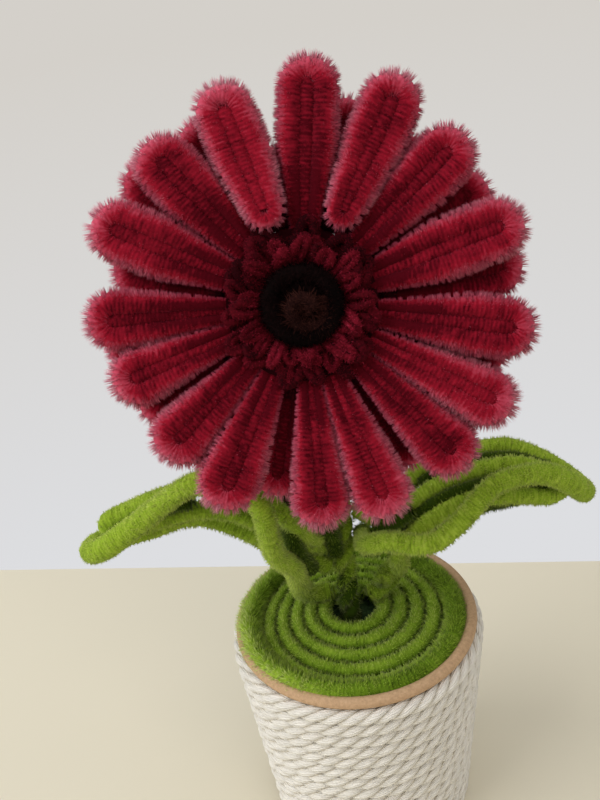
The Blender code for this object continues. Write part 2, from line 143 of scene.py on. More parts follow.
def stage_sheet(name, corners, code):
    """A flat sheet of the set, painted in one pale colour."""
    shape = bmesh.new()
    shape.faces.new([shape.verts.new(corner) for corner in corners])
    mesh = bpy.data.meshes.new(name)
    shape.to_mesh(mesh)
    shape.free()
    material, shader = new_material(name, roughness=0.9, specular=0.2)
    shader.inputs["Base Color"].default_value = linear(code)
    mesh.materials.append(material)
    new_object(name, mesh)


edge_line = (EDGE_RIGHT - EDGE_LEFT).normalized()
edge_start = EDGE_LEFT - edge_line * TABLE_HALF
edge_end = EDGE_RIGHT + edge_line * TABLE_HALF
front = Vector((0, -TABLE_HALF, 0))
stage_sheet("table", [edge_start + front, edge_end + front, edge_end, edge_start], "#E2DBC6")
print("table edge turned, degrees:", round(math.degrees(math.atan2(edge_line.y, edge_line.x)), 1))


# %% Soft lamps
LAMP_AIM = Vector((0, 0, 0.12))


def soft_lamp(name, place, size, power, code):
    """A square area lamp that faces the flower."""
    data = bpy.data.lights.new(name, "AREA")
    data.size = size
    data.energy = power
    data.color = linear(code)[:3]
    lamp = new_object(name, data)
    lamp.location = place
    lamp.rotation_euler = (LAMP_AIM - Vector(place)).to_track_quat("-Z", "Y").to_euler()


soft_lamp("window", (-1.50, -0.45, 1.10), size=2.0, power=29.0, code="#FFFFFF")
soft_lamp("ceiling", (0.35, 0.10, 1.60), size=1.5, power=7.5, code="#FFFFFF")
soft_lamp("room", (0.50, -1.20, 1.25), size=0.9, power=6.0, code="#FFF6EA")

# %% A pale sky, and behind the table the wall's grey
SKY_STRENGTH = 0.36
WALL_LOW = -0.62
WALL_HIGH = -0.26
world = bpy.data.worlds.new("pale_room")
bpy.context.scene.world = world
world.use_nodes = True
sky = world.node_tree.nodes["Background"]
sky.inputs["Color"].default_value = linear("#F2F2F4")
sky.inputs["Strength"].default_value = SKY_STRENGTH
gaze = add_node(world, "ShaderNodeTexCoord").outputs["Generated"]
gaze_height = add_node(world, "ShaderNodeSeparateXYZ", {"Vector": gaze}).outputs["Z"]
wall_height = add_node(world, "ShaderNodeMapRange", {
    "Value": gaze_height, "From Min": WALL_LOW, "From Max": WALL_HIGH}).outputs[0]
wall_colour = ramp(world, wall_height, [(0.0, "#DDDEE1"), (1.0, "#D4D0CA")])
wall_seen = add_node(world, "ShaderNodeBackground", {"Color": wall_colour, "Strength": 1.0})
ray = add_node(world, "ShaderNodeLightPath").outputs
direct = add_node(world, "ShaderNodeMath", {0: ray["Is Camera Ray"], 1: ray["Is Glossy Ray"]},
                  operation="ADD").outputs[0]
direct = add_node(world, "ShaderNodeMath", {0: direct, 1: ray["Is Transmission Ray"]},
                  operation="ADD", use_clamp=True).outputs[0]
mixed = add_node(world, "ShaderNodeMixShader",
                 {"Fac": direct, 1: sky.outputs["Background"], 2: wall_seen.outputs["Background"]})
world_output = world.node_tree.nodes["World Output"]
world.node_tree.links.new(mixed.outputs["Shader"], world_output.inputs["Surface"])
print("world nodes:", len(world.node_tree.nodes))

# %% [markdown]
# ## Chenille
# The fibres of a chenille stem are held in the twist of two wires, so they stand in a screw
# of combs about a millimetre apart. Hair curves would be the quick way, but they don't stay
# when a model is exported. Here each stem is a soft core, a tube whose girth swells at every
# comb, and on it stand small three-sided tufts, each one a pinch of fibres that comes to a
# point. Two combs more stand past each end of an open stem, as its cut ends fray, and about
# one tuft in a hundred gets a painted glint. One float attribute, pile, runs from 0 deep
# between the combs to 1 at the tips, and the material turns it into colour, with painted shade
# deep in the pile and a painted glow at the tips; painted light and shade are added to it too.
#
# A line is a dictionary. Its points may come with radii, shade (painted light and shade, paler
# or darker), reach (a share of the pile's length) and a direction for the side where light is
# painted, where the pile is paler.

# %% A line's places and directions
CORE_SIDES = 12
CORE_SHARE = 0.86
COMB_PITCH = 0.9 * MM
NEAR_UPRIGHT = 0.9


def unit(rows):
    """Each row, at a length of one."""
    return rows / np.linalg.norm(rows, axis=1)[:, None]


def dots(rows, others):
    """The dot product of each row and its partner."""
    return np.sum(rows * others, axis=1)


def spokes_at(turn, side, other):
    """Directions out from a line, each turned round it from side towards other."""
    return side * np.cos(turn)[:, None] + other * np.sin(turn)[:, None]


def ring(reach, height, count):
    """Points on a level circle."""
    turns = np.linspace(0, math.tau, count, endpoint=False)
    return np.stack([reach * np.cos(turns), reach * np.sin(turns), np.full(count, height)], axis=1)


def evenly(line, spacing):
    """The line at an even spacing (x, y, z, radius, shade, reach, the side where light is painted),
    and how far along.
    """
    points = np.asarray(line["points"], float)
    columns = [points]
    for label, usual in (("radii", 1.0), ("shade", 0.0), ("reach", 1.0)):
        columns.append(np.broadcast_to(line.get(label, usual), len(points))[:, None])
    columns.append(line.get("lit_side", np.zeros_like(points)))
    table = np.hstack(columns)
    if line.get("cyclic"):
        table = np.vstack([table, table[:1]])
    runs = np.linalg.norm(np.diff(table[:, :3], axis=0), axis=1)
    runs = np.concatenate([[0.0], np.cumsum(runs)])
    steps = max(3, round(runs[-1] / spacing))
    places = np.linspace(0.0, runs[-1], steps + 1)
    even = np.stack([np.interp(places, runs, column) for column in table.T], axis=1)
    return even, places


def directions(line):
    """The heading at each point, and two cross directions carried along without a twist."""
    heading = unit(np.gradient(line, axis=0))
    side = np.zeros_like(line)
    upright = abs(heading[0][2]) >= NEAR_UPRIGHT
    carried = np.array([1.0, 0.0, 0.0]) if upright else np.array([0.0, 0.0, 1.0])
    for index, along in enumerate(heading):
        carried = carried - along * carried.dot(along)
        carried = carried / np.linalg.norm(carried)
        side[index] = carried
    return heading, side, np.cross(heading, side)


# %% One tuft
def tuft_shape():
    """A three-sided spike, one unit long from its foot, and its faces."""
    shape = bmesh.new()
    bmesh.ops.create_cone(shape, cap_ends=True, segments=3, radius1=1.0, radius2=0.0, depth=1.0)
    bmesh.ops.translate(shape, verts=shape.verts, vec=(0, 0, 0.5))
    shape.verts.index_update()
    corners = np.array([vert.co[:] for vert in shape.verts])
    faces = [[vert.index for vert in face.verts] for face in shape.faces]
    shape.free()
    return corners, np.array(faces)


TUFT_CORNERS, TUFT_FACES = tuft_shape()
print("tuft corners:", len(TUFT_CORNERS), "faces:", len(TUFT_FACES))


# %% A core tube
def core_tube(line, radii, sides=CORE_SIDES, cyclic=False):
    """A tube along the line by a bevelled curve: its corners, ring by ring, and its faces."""
    curve = bpy.data.curves.new("core", "CURVE")
    curve.dimensions = "3D"
    curve.bevel_depth = 1.0
    curve.bevel_resolution = (sides - 4) // 2    # a full bevel has 4 sides, and 2 more each step
    spline = curve.splines.new("POLY")
    spline.points.add(len(line) - 1)
    spline.points.foreach_set("co", np.hstack([line, np.ones((len(line), 1))]).ravel())
    spline.points.foreach_set("radius", np.asarray(radii, float))
    spline.use_cyclic_u = cyclic
    holder = bpy.data.objects.new("core", curve)
    mesh = bpy.data.meshes.new_from_object(holder)
    shape = bmesh.new()
    shape.from_mesh(mesh)
    bmesh.ops.holes_fill(shape, edges=shape.edges, sides=sides)
    bmesh.ops.recalc_face_normals(shape, faces=shape.faces)
    corners = np.array([vert.co[:] for vert in shape.verts])
    normals = np.array([vert.normal[:] for vert in shape.verts])
    faces = [[vert.index for vert in face.verts] for face in shape.faces]
    shape.free()
    bpy.data.objects.remove(holder)
    bpy.data.curves.remove(curve)
    bpy.data.meshes.remove(mesh)
    return corners, normals, faces


# %% Tufts on a screw of combs
# Painted light: the lit side is paler, and some of the tufts gather there, within about half a
# radian
RIM_LIGHT = 0.32
RIM_SPREAD = 0.55
# The pile leans one way and another along the stem
WANDER = 9 * MM
WAVE_RATES = (0.6, 1.1, 1.6)
WANDER_LEAN = 0.14
WANDER_REACH = 0.12
TWIST_SHARE = 1.5
# Each tuft has its own length, width and shade, and its foot is inside the core
TUFT_LENGTHS = (0.65, 1.15)
TUFT_WIDTHS = (0.7, 1.2)
TUFT_SHADE = 0.07
TUFT_ROOT = 0.72
# The combs past a cut end fan out and get shorter
END_COMBS = 2
END_LEAN = 0.5
END_SHORT = 0.8
END_ROOT = 0.1
# Painted light: tips are paler on the lit side and on longer pile, as a painted glow, and, rarely, a
# tuft gets a painted glint
LIT_SIDE_PALE = 0.06
LONG_PILE_GLOW = 0.42
GLINT = 0.5
GLINT_SHARE = 0.012
# A tuft is lit as the pile round it is, with a little stray
FACING_STRAY = 0.25


def waves(places, random, length):
    """A smooth wander between -1 and 1 along a line, for pile that leans one way and another."""
    total = np.zeros(len(places))
    for rate in WAVE_RATES:
        total += np.sin(places / length * math.tau * rate + random.uniform(0, math.tau))
    return total / len(WAVE_RATES)


def pile_on(even, places, random, style, cyclic):
    """Tufts for one line: their corners, pile, comb numbers and the way they face."""
    heading, side, other = directions(even[:, :3])
    pitch, per_comb = style["pitch"], style["per_comb"]
    past = 0 if cyclic else END_COMBS
    combs = np.arange(-past, int(places[-1] / pitch) + past)
    comb = np.repeat(np.arange(len(combs)), per_comb)
    count = len(comb)
    run = (combs[comb] + 0.5 + random.uniform(-0.5, 0.5, count) * style["spread"]) * pitch
    over = run - np.clip(run, 0.0, places[-1])

    def at(values):
        return np.stack([np.interp(run, places, column) for column in values.T], axis=1)

    here, along = at(even), at(heading)
    girths, shade, reach, lit_side = here[:, 3], here[:, 4], here[:, 5], here[:, 6:9]
    angle = random.uniform(0, math.tau, count)
    rim = random.uniform(0, 1, count) < style["rim_share"]
    toward = np.arctan2(dots(lit_side, at(other)), dots(lit_side, at(side)))
    angle = np.where(rim, toward + random.normal(0, RIM_SPREAD, count), angle)
    spoke = spokes_at(angle, at(side), at(other))
    swirl = np.cross(along, spoke)
    wander = waves(run + angle * 2 * MM, random, WANDER)
    lean = style["lean"]
    tilt = random.normal(0, lean, len(combs))[comb] + random.normal(0, lean, count)
    tilt += WANDER_LEAN * wander
    tilt += END_LEAN * over / girths
    twist = random.normal(0, lean * TWIST_SHARE, count)
    axis_z = unit(spoke + along * tilt[:, None] + swirl * twist[:, None])
    axis_x = unit(np.cross(axis_z, along))
    axis_y = np.cross(axis_z, axis_x)
    out = np.clip(dots(spoke, lit_side), 0.0, 1.0)
    stand = style["reach"] * reach * random.uniform(*TUFT_LENGTHS, count)
    stand *= 1 + WANDER_REACH * wander
    stand *= style["face"] + (1 - style["face"]) * out
    stand -= np.abs(over) * END_SHORT
    foot = np.where(over == 0, TUFT_ROOT, END_ROOT) * girths
    length = girths * CORE_SHARE + stand - foot
    wide = style["girth"] * random.uniform(*TUFT_WIDTHS, count)
    roots = here[:, :3] + along * over[:, None] + axis_z * foot[:, None]
    corners = (roots[:, None, :]
               + TUFT_CORNERS[None, :, 0, None] * (axis_x * wide[:, None])[:, None, :]
               + TUFT_CORNERS[None, :, 1, None] * (axis_y * wide[:, None])[:, None, :]
               + TUFT_CORNERS[None, :, 2, None] * (axis_z * length[:, None])[:, None, :])
    # Painted light and shade: paler on the lit side, the line's own painted shade added, and paler
    # towards the tips as a painted glow
    base = style["ground"] + RIM_LIGHT * out + shade + random.uniform(-TUFT_SHADE, TUFT_SHADE, count)
    pale = style["tip"] + out * (LIT_SIDE_PALE + LONG_PILE_GLOW * np.clip(reach - 1, 0, 1))
    pale += GLINT * (random.uniform(0, 1, count) < GLINT_SHARE)
    pile = base[:, None] + TUFT_CORNERS[None, :, 2] * pale[:, None]
    facing = unit(spoke + FACING_STRAY * random.normal(0, 1, spoke.shape))
    facing = np.repeat(facing, len(TUFT_CORNERS), axis=0)
    combs_at = np.repeat(run / pitch, len(TUFT_CORNERS))
    return corners.reshape(-1, 3), pile.ravel(), combs_at, facing


# %% The core under the tufts
CORE_SHADE = 0.02
CORE_MOTTLE = 0.04


def core_of(even, places, random, style, sides, cyclic):
    """The soft core under the tufts: corners, pile, comb numbers, normals and faces."""
    if cyclic:
        even, places = even[:-1], places[:-1]
    combs = np.cos(places / style["pitch"] * math.tau)
    girths = even[:, 3] * CORE_SHARE * (1 + style["bumps"] * combs)
    corners, normals, faces = core_tube(even[:, :3], girths, sides, cyclic)
    rings = np.repeat(np.arange(len(places)), sides)
    rough = random.normal(0, 1, len(corners))
    corners = corners + normals * (rough * style["bumps"] * girths[rings])[:, None]
    out = np.clip(dots(normals, even[rings, 6:9]), 0.0, 1.0)
    # Painted shade: the core under the tufts is a little darker, and it is paler on the lit side as
    # painted light
    pile = style["ground"] - CORE_SHADE + RIM_LIGHT * out + even[rings, 4] + CORE_MOTTLE * rough
    return corners, pile, places[rings] / style["pitch"], normals, faces


# %% Put the core and its tufts together
def as_mesh(name, corners, faces, values, material, facing=None):
    """One mesh from corners and faces, with point attributes and, if given, its normals."""
    mesh = bpy.data.meshes.new(name)
    sizes = np.array([len(face) for face in faces])
    mesh.vertices.add(len(corners))
    mesh.vertices.foreach_set("co", np.asarray(corners, dtype=np.float32).ravel())
    mesh.loops.add(int(sizes.sum()))
    mesh.loops.foreach_set("vertex_index", np.concatenate([np.asarray(face) for face in faces]))
    mesh.polygons.add(len(faces))
    mesh.polygons.foreach_set("loop_start", np.concatenate([[0], np.cumsum(sizes)[:-1]]))
    mesh.update(calc_edges=True)
    mesh.validate()
    mesh.shade_smooth()
    for label, column in values.items():
        attribute = mesh.attributes.new(label, "FLOAT", "POINT")
        attribute.data.foreach_set("value", np.asarray(column, dtype=np.float32))
    if facing is not None:
        mesh.normals_split_custom_set_from_vertices(facing)
    mesh.materials.append(material)
    return new_object(name, mesh)


# %% One chenille stem, and its place on the object
# The usual pile: face is how long it is on the side away from the lit side, rim_share how many
# of the tufts gather on the lit side, ground the painted shade at a tuft's foot and tip the
# painted glow that is added towards its point
PLUSH = {"per_comb": 40, "pitch": COMB_PITCH, "reach": 1.1 * MM, "girth": 0.16 * MM, "lean": 0.08,
         "spread": 0.4, "bumps": 0.03, "face": 1.0, "rim_share": 0.0, "ground": 0.28, "tip": 0.40}
triangles_made = []


def chenille(name, lines, material, seed, step=0.45 * MM, sides=CORE_SIDES, **changes):
    """A chenille stem along each line, as one piece."""
    random = np.random.default_rng(seed)
    corner_sets, pile_sets, comb_sets, facing_sets, faces = [], [], [], [], []
    total = 0
    for line in lines:
        style = {**PLUSH, **changes, **line.get("style", {})}
        cyclic = line.get("cyclic", False)
        even, places = evenly(line, step)
        corners, pile, combs, normals, core_faces = core_of(even, places, random, style, sides,
                                                            cyclic)
        faces += [[total + corner for corner in face] for face in core_faces]
        total += len(corners)
        tufts, tuft_pile, tuft_combs, facing = pile_on(even, places, random, style, cyclic)
        starts = total + np.arange(len(tufts) // len(TUFT_CORNERS)) * len(TUFT_CORNERS)
        for tuft_face in TUFT_FACES:
            faces += list(starts[:, None] + tuft_face[None, :])
        total += len(tufts)
        corner_sets += [corners, tufts]
        pile_sets += [pile, tuft_pile]
        comb_sets += [combs, tuft_combs]
        facing_sets += [normals, facing]
    triangles_made.append(sum(len(face) - 2 for face in faces))
    print(name, "triangles:", triangles_made[-1])
    values = {"pile": np.clip(np.concatenate(pile_sets), 0, 1), "comb": np.concatenate(comb_sets)}
    return as_mesh(name, np.vstack(corner_sets), faces, values, material, np.vstack(facing_sets))


def dress(piece, node):
    """The piece rides with the object and stands for its solid, which is hidden."""
    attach(piece, "root")
    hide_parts(node)


# %% [markdown]
# Chenille pile is dyed viscose or polyester plush. It has almost no gloss: what the eye sees
# is the dark between the fibres, the dyed colour where they lie close, and a pale glow where
# light runs through their tips at the edge. So the colour follows the pile attribute and
# paints that dark as shade and that glow as light, with a fine mottle for pinches of fibre, a
# broad one for pile that was brushed by hand and faint rows of painted shade along the combs,
# and the shader's sheen adds to the glow. The dye is what differs from one stem to the next.

# %% Dyed plush
PINCH = 0.7 * MM
BRUSHED = 6.0 * MM
FINE_MOTTLE = 0.30
BROAD_MOTTLE = 0.34
ROW_SHADE = 0.03


def dyed_plush(name, deep, close, lit, tips, glow, tint, mottle=1.0):
    """Chenille pile dyed, from painted shade deep in it to a painted glow at its pale tips."""
    material, shader = new_material(name, roughness=0.95, specular=0.04)
    place = add_node(material, "ShaderNodeTexCoord").outputs["Object"]
    pile = add_node(material, "ShaderNodeAttribute", attribute_name="pile").outputs["Fac"]
    comb = add_node(material, "ShaderNodeAttribute", attribute_name="comb").outputs["Fac"]
    fine = add_node(material, "ShaderNodeTexNoise", {
        "Vector": place, "Scale": 1 / PINCH, "Detail": 2.0, "Roughness": 0.6}).outputs["Fac"]
    broad = add_node(material, "ShaderNodeTexNoise", {
        "Vector": place, "Scale": 1 / BRUSHED, "Detail": 1.0}).outputs["Fac"]
    turn = add_node(material, "ShaderNodeMath", {0: comb, 1: math.tau, 2: fine},
                    operation="MULTIPLY_ADD").outputs[0]
    rows = add_node(material, "ShaderNodeMath", {0: turn}, operation="SINE").outputs[0]
    shade = pile
    # Random mottle, and faint rows of painted shade along the combs
    for factor, share, middle in ((fine, FINE_MOTTLE * mottle, 0.5),
                                  (broad, BROAD_MOTTLE * mottle, 0.5), (rows, ROW_SHADE, 0.0)):
        part = add_node(material, "ShaderNodeMath", {0: factor, 1: share, 2: -share * middle},
                        operation="MULTIPLY_ADD").outputs[0]
        shade = add_node(material, "ShaderNodeMath", {0: shade, 1: part}).outputs[0]
    # The ramp: deep is painted shade between the fibres, close the dye, lit painted light and tips a
    # painted glow where light runs through them
    colour = ramp(material, shade, [(0.04, deep), (0.28, close), (0.58, lit), (0.95, tips)])
    link(material, colour, shader, "Base Color")
    shader.inputs["Sheen Weight"].default_value = glow
    shader.inputs["Sheen Roughness"].default_value = 0.4
    shader.inputs["Sheen Tint"].default_value = linear(tint)
    height = add_node(material, "ShaderNodeMath", {0: rows, 1: 0.2, 2: fine},
                      operation="MULTIPLY_ADD").outputs[0]
    bump = add_node(material, "ShaderNodeBump",
                    {"Height": height, "Strength": 0.5, "Distance": 0.2 * MM})
    link(material, bump.outputs["Normal"], shader, "Normal")
    return material


crimson = dyed_plush("crimson_plush", "#4A0510", "#921528", "#C85268", "#EEA2B0",
                     glow=0.35, tint="#D85878", mottle=0.6)
floret_crimson = dyed_plush("dark_crimson_plush", "#220307", "#500914", "#8C1C30", "#BC4C60",
                            glow=0.1, tint="#B03048")
leaf_green = dyed_plush("leaf_green_plush", "#2A3C08", "#88A42C", "#C8DA60", "#F0F6B8",
                        glow=0.35, tint="#D8E49C", mottle=0.4)
grass_green = dyed_plush("grass_green_plush", "#22340A", "#688620", "#9EBA3E", "#D4E088",
                         glow=0.3, tint="#C8D88C", mottle=0.6)
eye_black = dyed_plush("black_plush", "#030101", "#0A0404", "#1A0B0C", "#38201F",
                       glow=0.0, tint="#604848")
eye_brown = dyed_plush("dark_brown_plush", "#0A0404", "#24100E", "#42221D", "#624034",
                       glow=0.0, tint="#604838")
print("dyes:", [material.name for material in bpy.data.materials if "plush" in material.name])

# %% [markdown]
# ## The petals
# Each petal is one chenille stem bent into a narrow loop, so it has two plush ridges and a
# round tip, and the pile of the two meets in a soft seam between them. Here a second, lower
# line of loose tufts is that seam, painted a little darker as shade. Each loop is painted
# paler at its tip as light, and the ones that are not laid on top darker towards the root as
# shade; the front ones each have their own painted light and shade. Sixteen loops make the
# front layer, and sixteen shorter ones show in the gaps behind, painted darker as shade. The
# loops were bent by hand: every one has its own reach and stands a little off its even place.
# Two of the front ones were laid on last, and their closed inner ends come forward over the
# florets.

# %% The head's own frame
CUP_HEIGHT = 63.0 * MM
HEAD_PLACE = Vector((-4.4, -7.5, 94.4)) * MM
HEAD_TILT = math.radians(62.3)
HEAD_TURN = math.radians(-0.8)
PATTERN_TURN = math.radians(6.8)
head_frame = np.array(Matrix.Translation(HEAD_PLACE + Vector((0, 0, CUP_HEIGHT)))
                      @ Matrix.Rotation(HEAD_TURN, 4, "Z") @ Matrix.Rotation(HEAD_TILT, 4, "X"))


def on_head(points):
    """Points of the head's own frame, placed on the flower."""
    return np.asarray(points, float) @ head_frame[:3, :3].T + head_frame[:3, 3]


print("head's middle, mm:", (on_head((0, 0, 0)) / MM).round(1))


# %% The petals' sizes
CLEARANCE = 0.3 * MM
PETAL_COUNT = 16
PETAL_STRAND = 2.8 * MM
PETAL_VALLEY = 1.4 * MM
PETAL_BOW = 1.5 * MM
BACK_LAYER_DROP = 4.0 * MM
BACK_LAYER_LEAN = 2.6 * MM
ROOT_LIFT = 3.4 * MM
ROOT_LIFT_SHARE = 0.6
CLOSED_ROOT = 21.0 * MM
PETAL_FULL = 1.07
SEAM_GIRTH = 0.88
SEAM_DROP = 0.9 * MM
SEAM_DROPS = (-0.1, 0.4)
# The seam is painted a little darker, as shade in the valley between the ridges
SEAM_SHADE = 0.04
SEAM_END = 0.6
SEAM_END_GIRTH = 0.9
SEAM_PILE = {"per_comb": 44, "reach": 1.3 * MM, "rim_share": 0.0, "lean": 0.34, "spread": 1.0}
ROLL = math.radians(8)
HUB_RADIUS = 16.0 * MM
TUCK = 1.6 * MM
# Each loop's painted light and shade (all the back ones painted darker, as shade), its reach
# in millimetres and its stray in degrees, clockwise from the top
FRONT_LIGHT_AND_SHADE = [-0.02, 0.02, 0.0, 0.03, 0.0, 0.09, 0.0, 0.07,
              0.03, 0.02, 0.02, 0.03, -0.02, 0.03, -0.02, 0.09]
BACK_SHADE = [-0.05] * PETAL_COUNT
FRONT_REACH = [51.3, 51.8, 49.0, 49.7, 49.3, 49.7, 49.1, 48.9,
               47.4, 46.8, 43.9, 43.6, 45.5, 47.4, 46.8, 49.0]
BACK_REACH = [45.0, 43.0, 47.2, 48.2, 45.5, 45.7, 42.6, 42.3,
              42.0, 42.0, 42.0, 43.0, 41.5, 47.0, 45.5, 34.0]
FRONT_STRAY = [1.4, 1.2, -1.2, 1.0, 6.3, 4.0, -0.9, -0.6,
               -5.6, 0.0, -2.4, -1.3, -4.8, -0.8, 0.2, 0.4]
BACK_STRAY = [2.0, 1.0, 0.0, 0.0, 2.5, 1.0, -3.2, -1.0,
              -3.1, -1.0, 0.0, -3.5, 1.0, 4.1, 2.4, 0.0]
LAID_ON_TOP = (1, 15)
# Each loop is painted darker towards its root, as shade, and paler at its tip, as light; its pile is
# shorter at the root and longer at the tip
ROOT_SHADE = 0.26
ROOT_SHADE_SHARE = 0.55
ROOT_PILE = 0.45
TIP_LIGHT = 0.18
TIP_PILE = 0.55
SIDE_STEPS = 9
SPARE_STEPS = 5
TIP_STEPS = 13
ROOT_STEPS = 9
root_reach = HUB_RADIUS + CLEARANCE
half_width = 2 * PETAL_STRAND + PETAL_VALLEY / 2
strand_share = PETAL_STRAND / half_width
print("petal's widest, mm:", round(2 * half_width / MM, 1))


# %% Where each loop points, and how much room it has
def petal_angles(stray, shift):
    """Each loop's direction, clockwise from the top."""
    return [math.radians((index + shift) * 360 / PETAL_COUNT + extra) + PATTERN_TURN
            for index, extra in enumerate(stray)]


def petal_widening(angles):
    """Half a loop's room, as a share of its distance from the middle."""
    shares = []
    for index, angle in enumerate(angles):
        after = (angles[(index + 1) % PETAL_COUNT] - angle) % math.tau
        before = (angle - angles[index - 1]) % math.tau
        shares.append(math.sin(min(after, before) / 2))
    return shares


# %% One petal's loop and its seam
def petal_loop(angle, widening, reach, depth, lean, on_top, roll, painted_tone, seam_drop):
    """The loop and the seam of pile along its middle, as lines in the head's frame."""
    arc_centre = max(reach - half_width, (reach + CLEARANCE / 2) / (1 + widening))
    full = min((half_width + CLEARANCE / 2) / widening, arc_centre)
    start = CLOSED_ROOT if on_top else root_reach - TUCK
    one_side = []
    for out in np.linspace(start, full, SIDE_STEPS):
        width = out * widening - CLEARANCE / 2
        one_side.append((out, width * (1 - strand_share), width * strand_share, 0.0))
    _, offset, radius, _ = one_side[-1]
    if arc_centre - full > 0.5 * MM:
        one_side += [(out, offset, radius, 0.0)
                     for out in np.linspace(full, arc_centre, SPARE_STEPS)[1:]]
    arc = [(arc_centre + offset * math.sin(turn), offset * math.cos(turn), radius, math.sin(turn))
           for turn in np.linspace(0, math.pi, TIP_STEPS)[1:-1]]
    other_side = [(out, -off, girth, 0.0) for out, off, girth, _ in reversed(one_side)]
    loop = one_side + arc + other_side
    if on_top:
        _, offset, radius, _ = one_side[0]
        loop += [(start - offset * math.sin(turn), -offset * math.cos(turn), radius, -math.sin(turn))
                 for turn in np.linspace(0, math.pi, ROOT_STEPS)[1:-1]]
    outward = np.array([math.sin(angle), math.cos(angle), 0.0])
    across = np.array([math.cos(angle), -math.sin(angle), 0.0])
    upward = np.array([0.0, 0.0, 1.0])

    def place(out, off):
        share = max(0.0, (out - root_reach) / (reach - root_reach))
        lift = depth + PETAL_BOW * math.sin(math.pi * share) + lean * share
        if on_top:
            fade = max(0.0, 1 - share / ROOT_LIFT_SHARE)
            lift += ROOT_LIFT * fade * fade * (3 - 2 * fade)
        return outward * out + across * off * math.cos(roll) + upward * (lift + off * math.sin(roll))

    points = [place(out, off) for out, off, _, _ in loop]
    # The side where light is painted: out across the loop along its sides and forward at its tip
    lit_side = np.array([outward * ahead + across * math.copysign(math.sqrt(1 - ahead * ahead), off)
                     for _, off, _, ahead in loop]) @ head_frame[:3, :3].T
    # Painted shade towards the root, painted light at the tip, and the loop's own painted light and
    # shade
    shares = np.array([(out - root_reach) / (reach - root_reach) for out, _, _, _ in loop])
    opened = np.ones(len(loop)) if on_top else np.clip(shares / ROOT_SHADE_SHARE, 0.0, 1.0)
    ahead = np.clip([ahead for _, _, _, ahead in loop], 0.0, 1.0)
    rim = {"points": on_head(points), "radii": [girth * PETAL_FULL for _, _, girth, _ in loop],
           "lit_side": lit_side, "cyclic": on_top,
           "shade": painted_tone + ROOT_SHADE * (opened - 1) + TIP_LIGHT * ahead,
           "reach": ROOT_PILE + (1 - ROOT_PILE) * opened + TIP_PILE * ahead}
    seam_line = [step for step in one_side if step[0] < arc_centre + offset / 2]
    seam_line.append((arc_centre + SEAM_END * offset, 0.0, SEAM_END_GIRTH * radius, 0.0))
    seam = {"points": on_head([place(out, 0.0) - upward * seam_drop for out, _, _, _ in seam_line]),
            "radii": [girth * SEAM_GIRTH for _, _, girth, _ in seam_line],
            "shade": painted_tone - SEAM_SHADE, "style": SEAM_PILE}
    return rim, seam


# %% Both layers of petals
def petal_layer(name, stray, reaches, painted_tones, per_comb, seed, shift=0.0, depth=0.0, lean=0.0,
                on_top=()):
    """Sixteen loops, each one a piece of its own."""
    angles = petal_angles(stray, shift)
    random = np.random.default_rng(seed)
    for index, widening in enumerate(petal_widening(angles)):
        rim, seam = petal_loop(angles[index], widening, reaches[index] * MM, depth, lean,
                               index in on_top, random.uniform(-ROLL, ROLL), painted_tones[index],
                               random.uniform(*SEAM_DROPS) * SEAM_DROP)
        label = f"{name}_{index + 1:02d}"
        petal = chenille(label + "_plush", [rim, seam], crimson, seed + index, per_comb=per_comb,
                         reach=1.25 * MM, girth=0.115 * MM, spread=0.5, lean=0.10, face=0.35,
                         rim_share=0.5, ground=0.155, tip=0.22)
        dress(petal, label)


petal_layer("front_petal", FRONT_STRAY, FRONT_REACH, FRONT_LIGHT_AND_SHADE, per_comb=84, seed=100,
            on_top=LAID_ON_TOP)
petal_layer("back_petal", BACK_STRAY, BACK_REACH, BACK_SHADE, per_comb=60, seed=200, shift=0.5,
            depth=-BACK_LAYER_DROP, lean=-BACK_LAYER_LEAN)

# %% [markdown]
# ## The florets and the eye
# The middle of a gerbera is a ring of short florets round a dark eye. Here fine crimson
# chenille is bent into many little loops that stand up round the eye, the outer ones leaning
# out over the petals' roots. The eye is a black chenille ring with a brown coil laid in it.

# %% A ring of little loops
HUB_FACE = 1.3 * MM
LOOP_TIPS = (-2.4, 1.8)
LOOP_HEIGHTS = (-1.2, 1.6)
LOOP_NOD = 0.62


def floret_loops(random, count, foot, tip, height, width, radius, shade):
    """Little loops round the eye, from foot to tip, each a bit astray."""
    loops = []
    for index in range(count):
        angle = (index + random.uniform(-0.45, 0.45)) * math.tau / count
        outward = np.array([math.sin(angle), math.cos(angle), 0.0])
        across = np.array([math.cos(angle), -math.sin(angle), 0.0])
        far = tip + random.uniform(*LOOP_TIPS) * MM
        high = height + random.uniform(*LOOP_HEIGHTS) * MM
        turn_aside = random.uniform(-2.0, 2.0)
        opening = width * random.uniform(0.4, 1.4)
        points = []
        for share in np.linspace(0, math.pi, 9):
            run = math.sin(share)
            out = foot + (far - foot) * run
            rise = HUB_FACE + high * math.sin(run * math.pi * LOOP_NOD)
            off = opening * math.cos(share) * (0.55 + 0.45 * run) + turn_aside * run * width
            points.append(outward * out + across * off + np.array([0.0, 0.0, rise]))
        # Each loop gets a random tone, and is painted darker towards the head's top and paler
        # towards its bottom, as painted light
        loops.append({"points": on_head(points), "radii": radius * random.uniform(0.8, 1.15),
                      "shade": shade + random.uniform(-0.12, 0.10) - 0.05 * math.cos(angle)})
    return loops


floret_random = np.random.default_rng(31)
loops = floret_loops(floret_random, count=30, foot=11.0 * MM, tip=16.2 * MM, height=1.6 * MM,
                     width=1.9 * MM, radius=1.15 * MM, shade=-0.10)
loops += floret_loops(floret_random, count=28, foot=9.2 * MM, tip=13.6 * MM, height=3.0 * MM,
                      width=1.6 * MM, radius=0.95 * MM, shade=0.0)
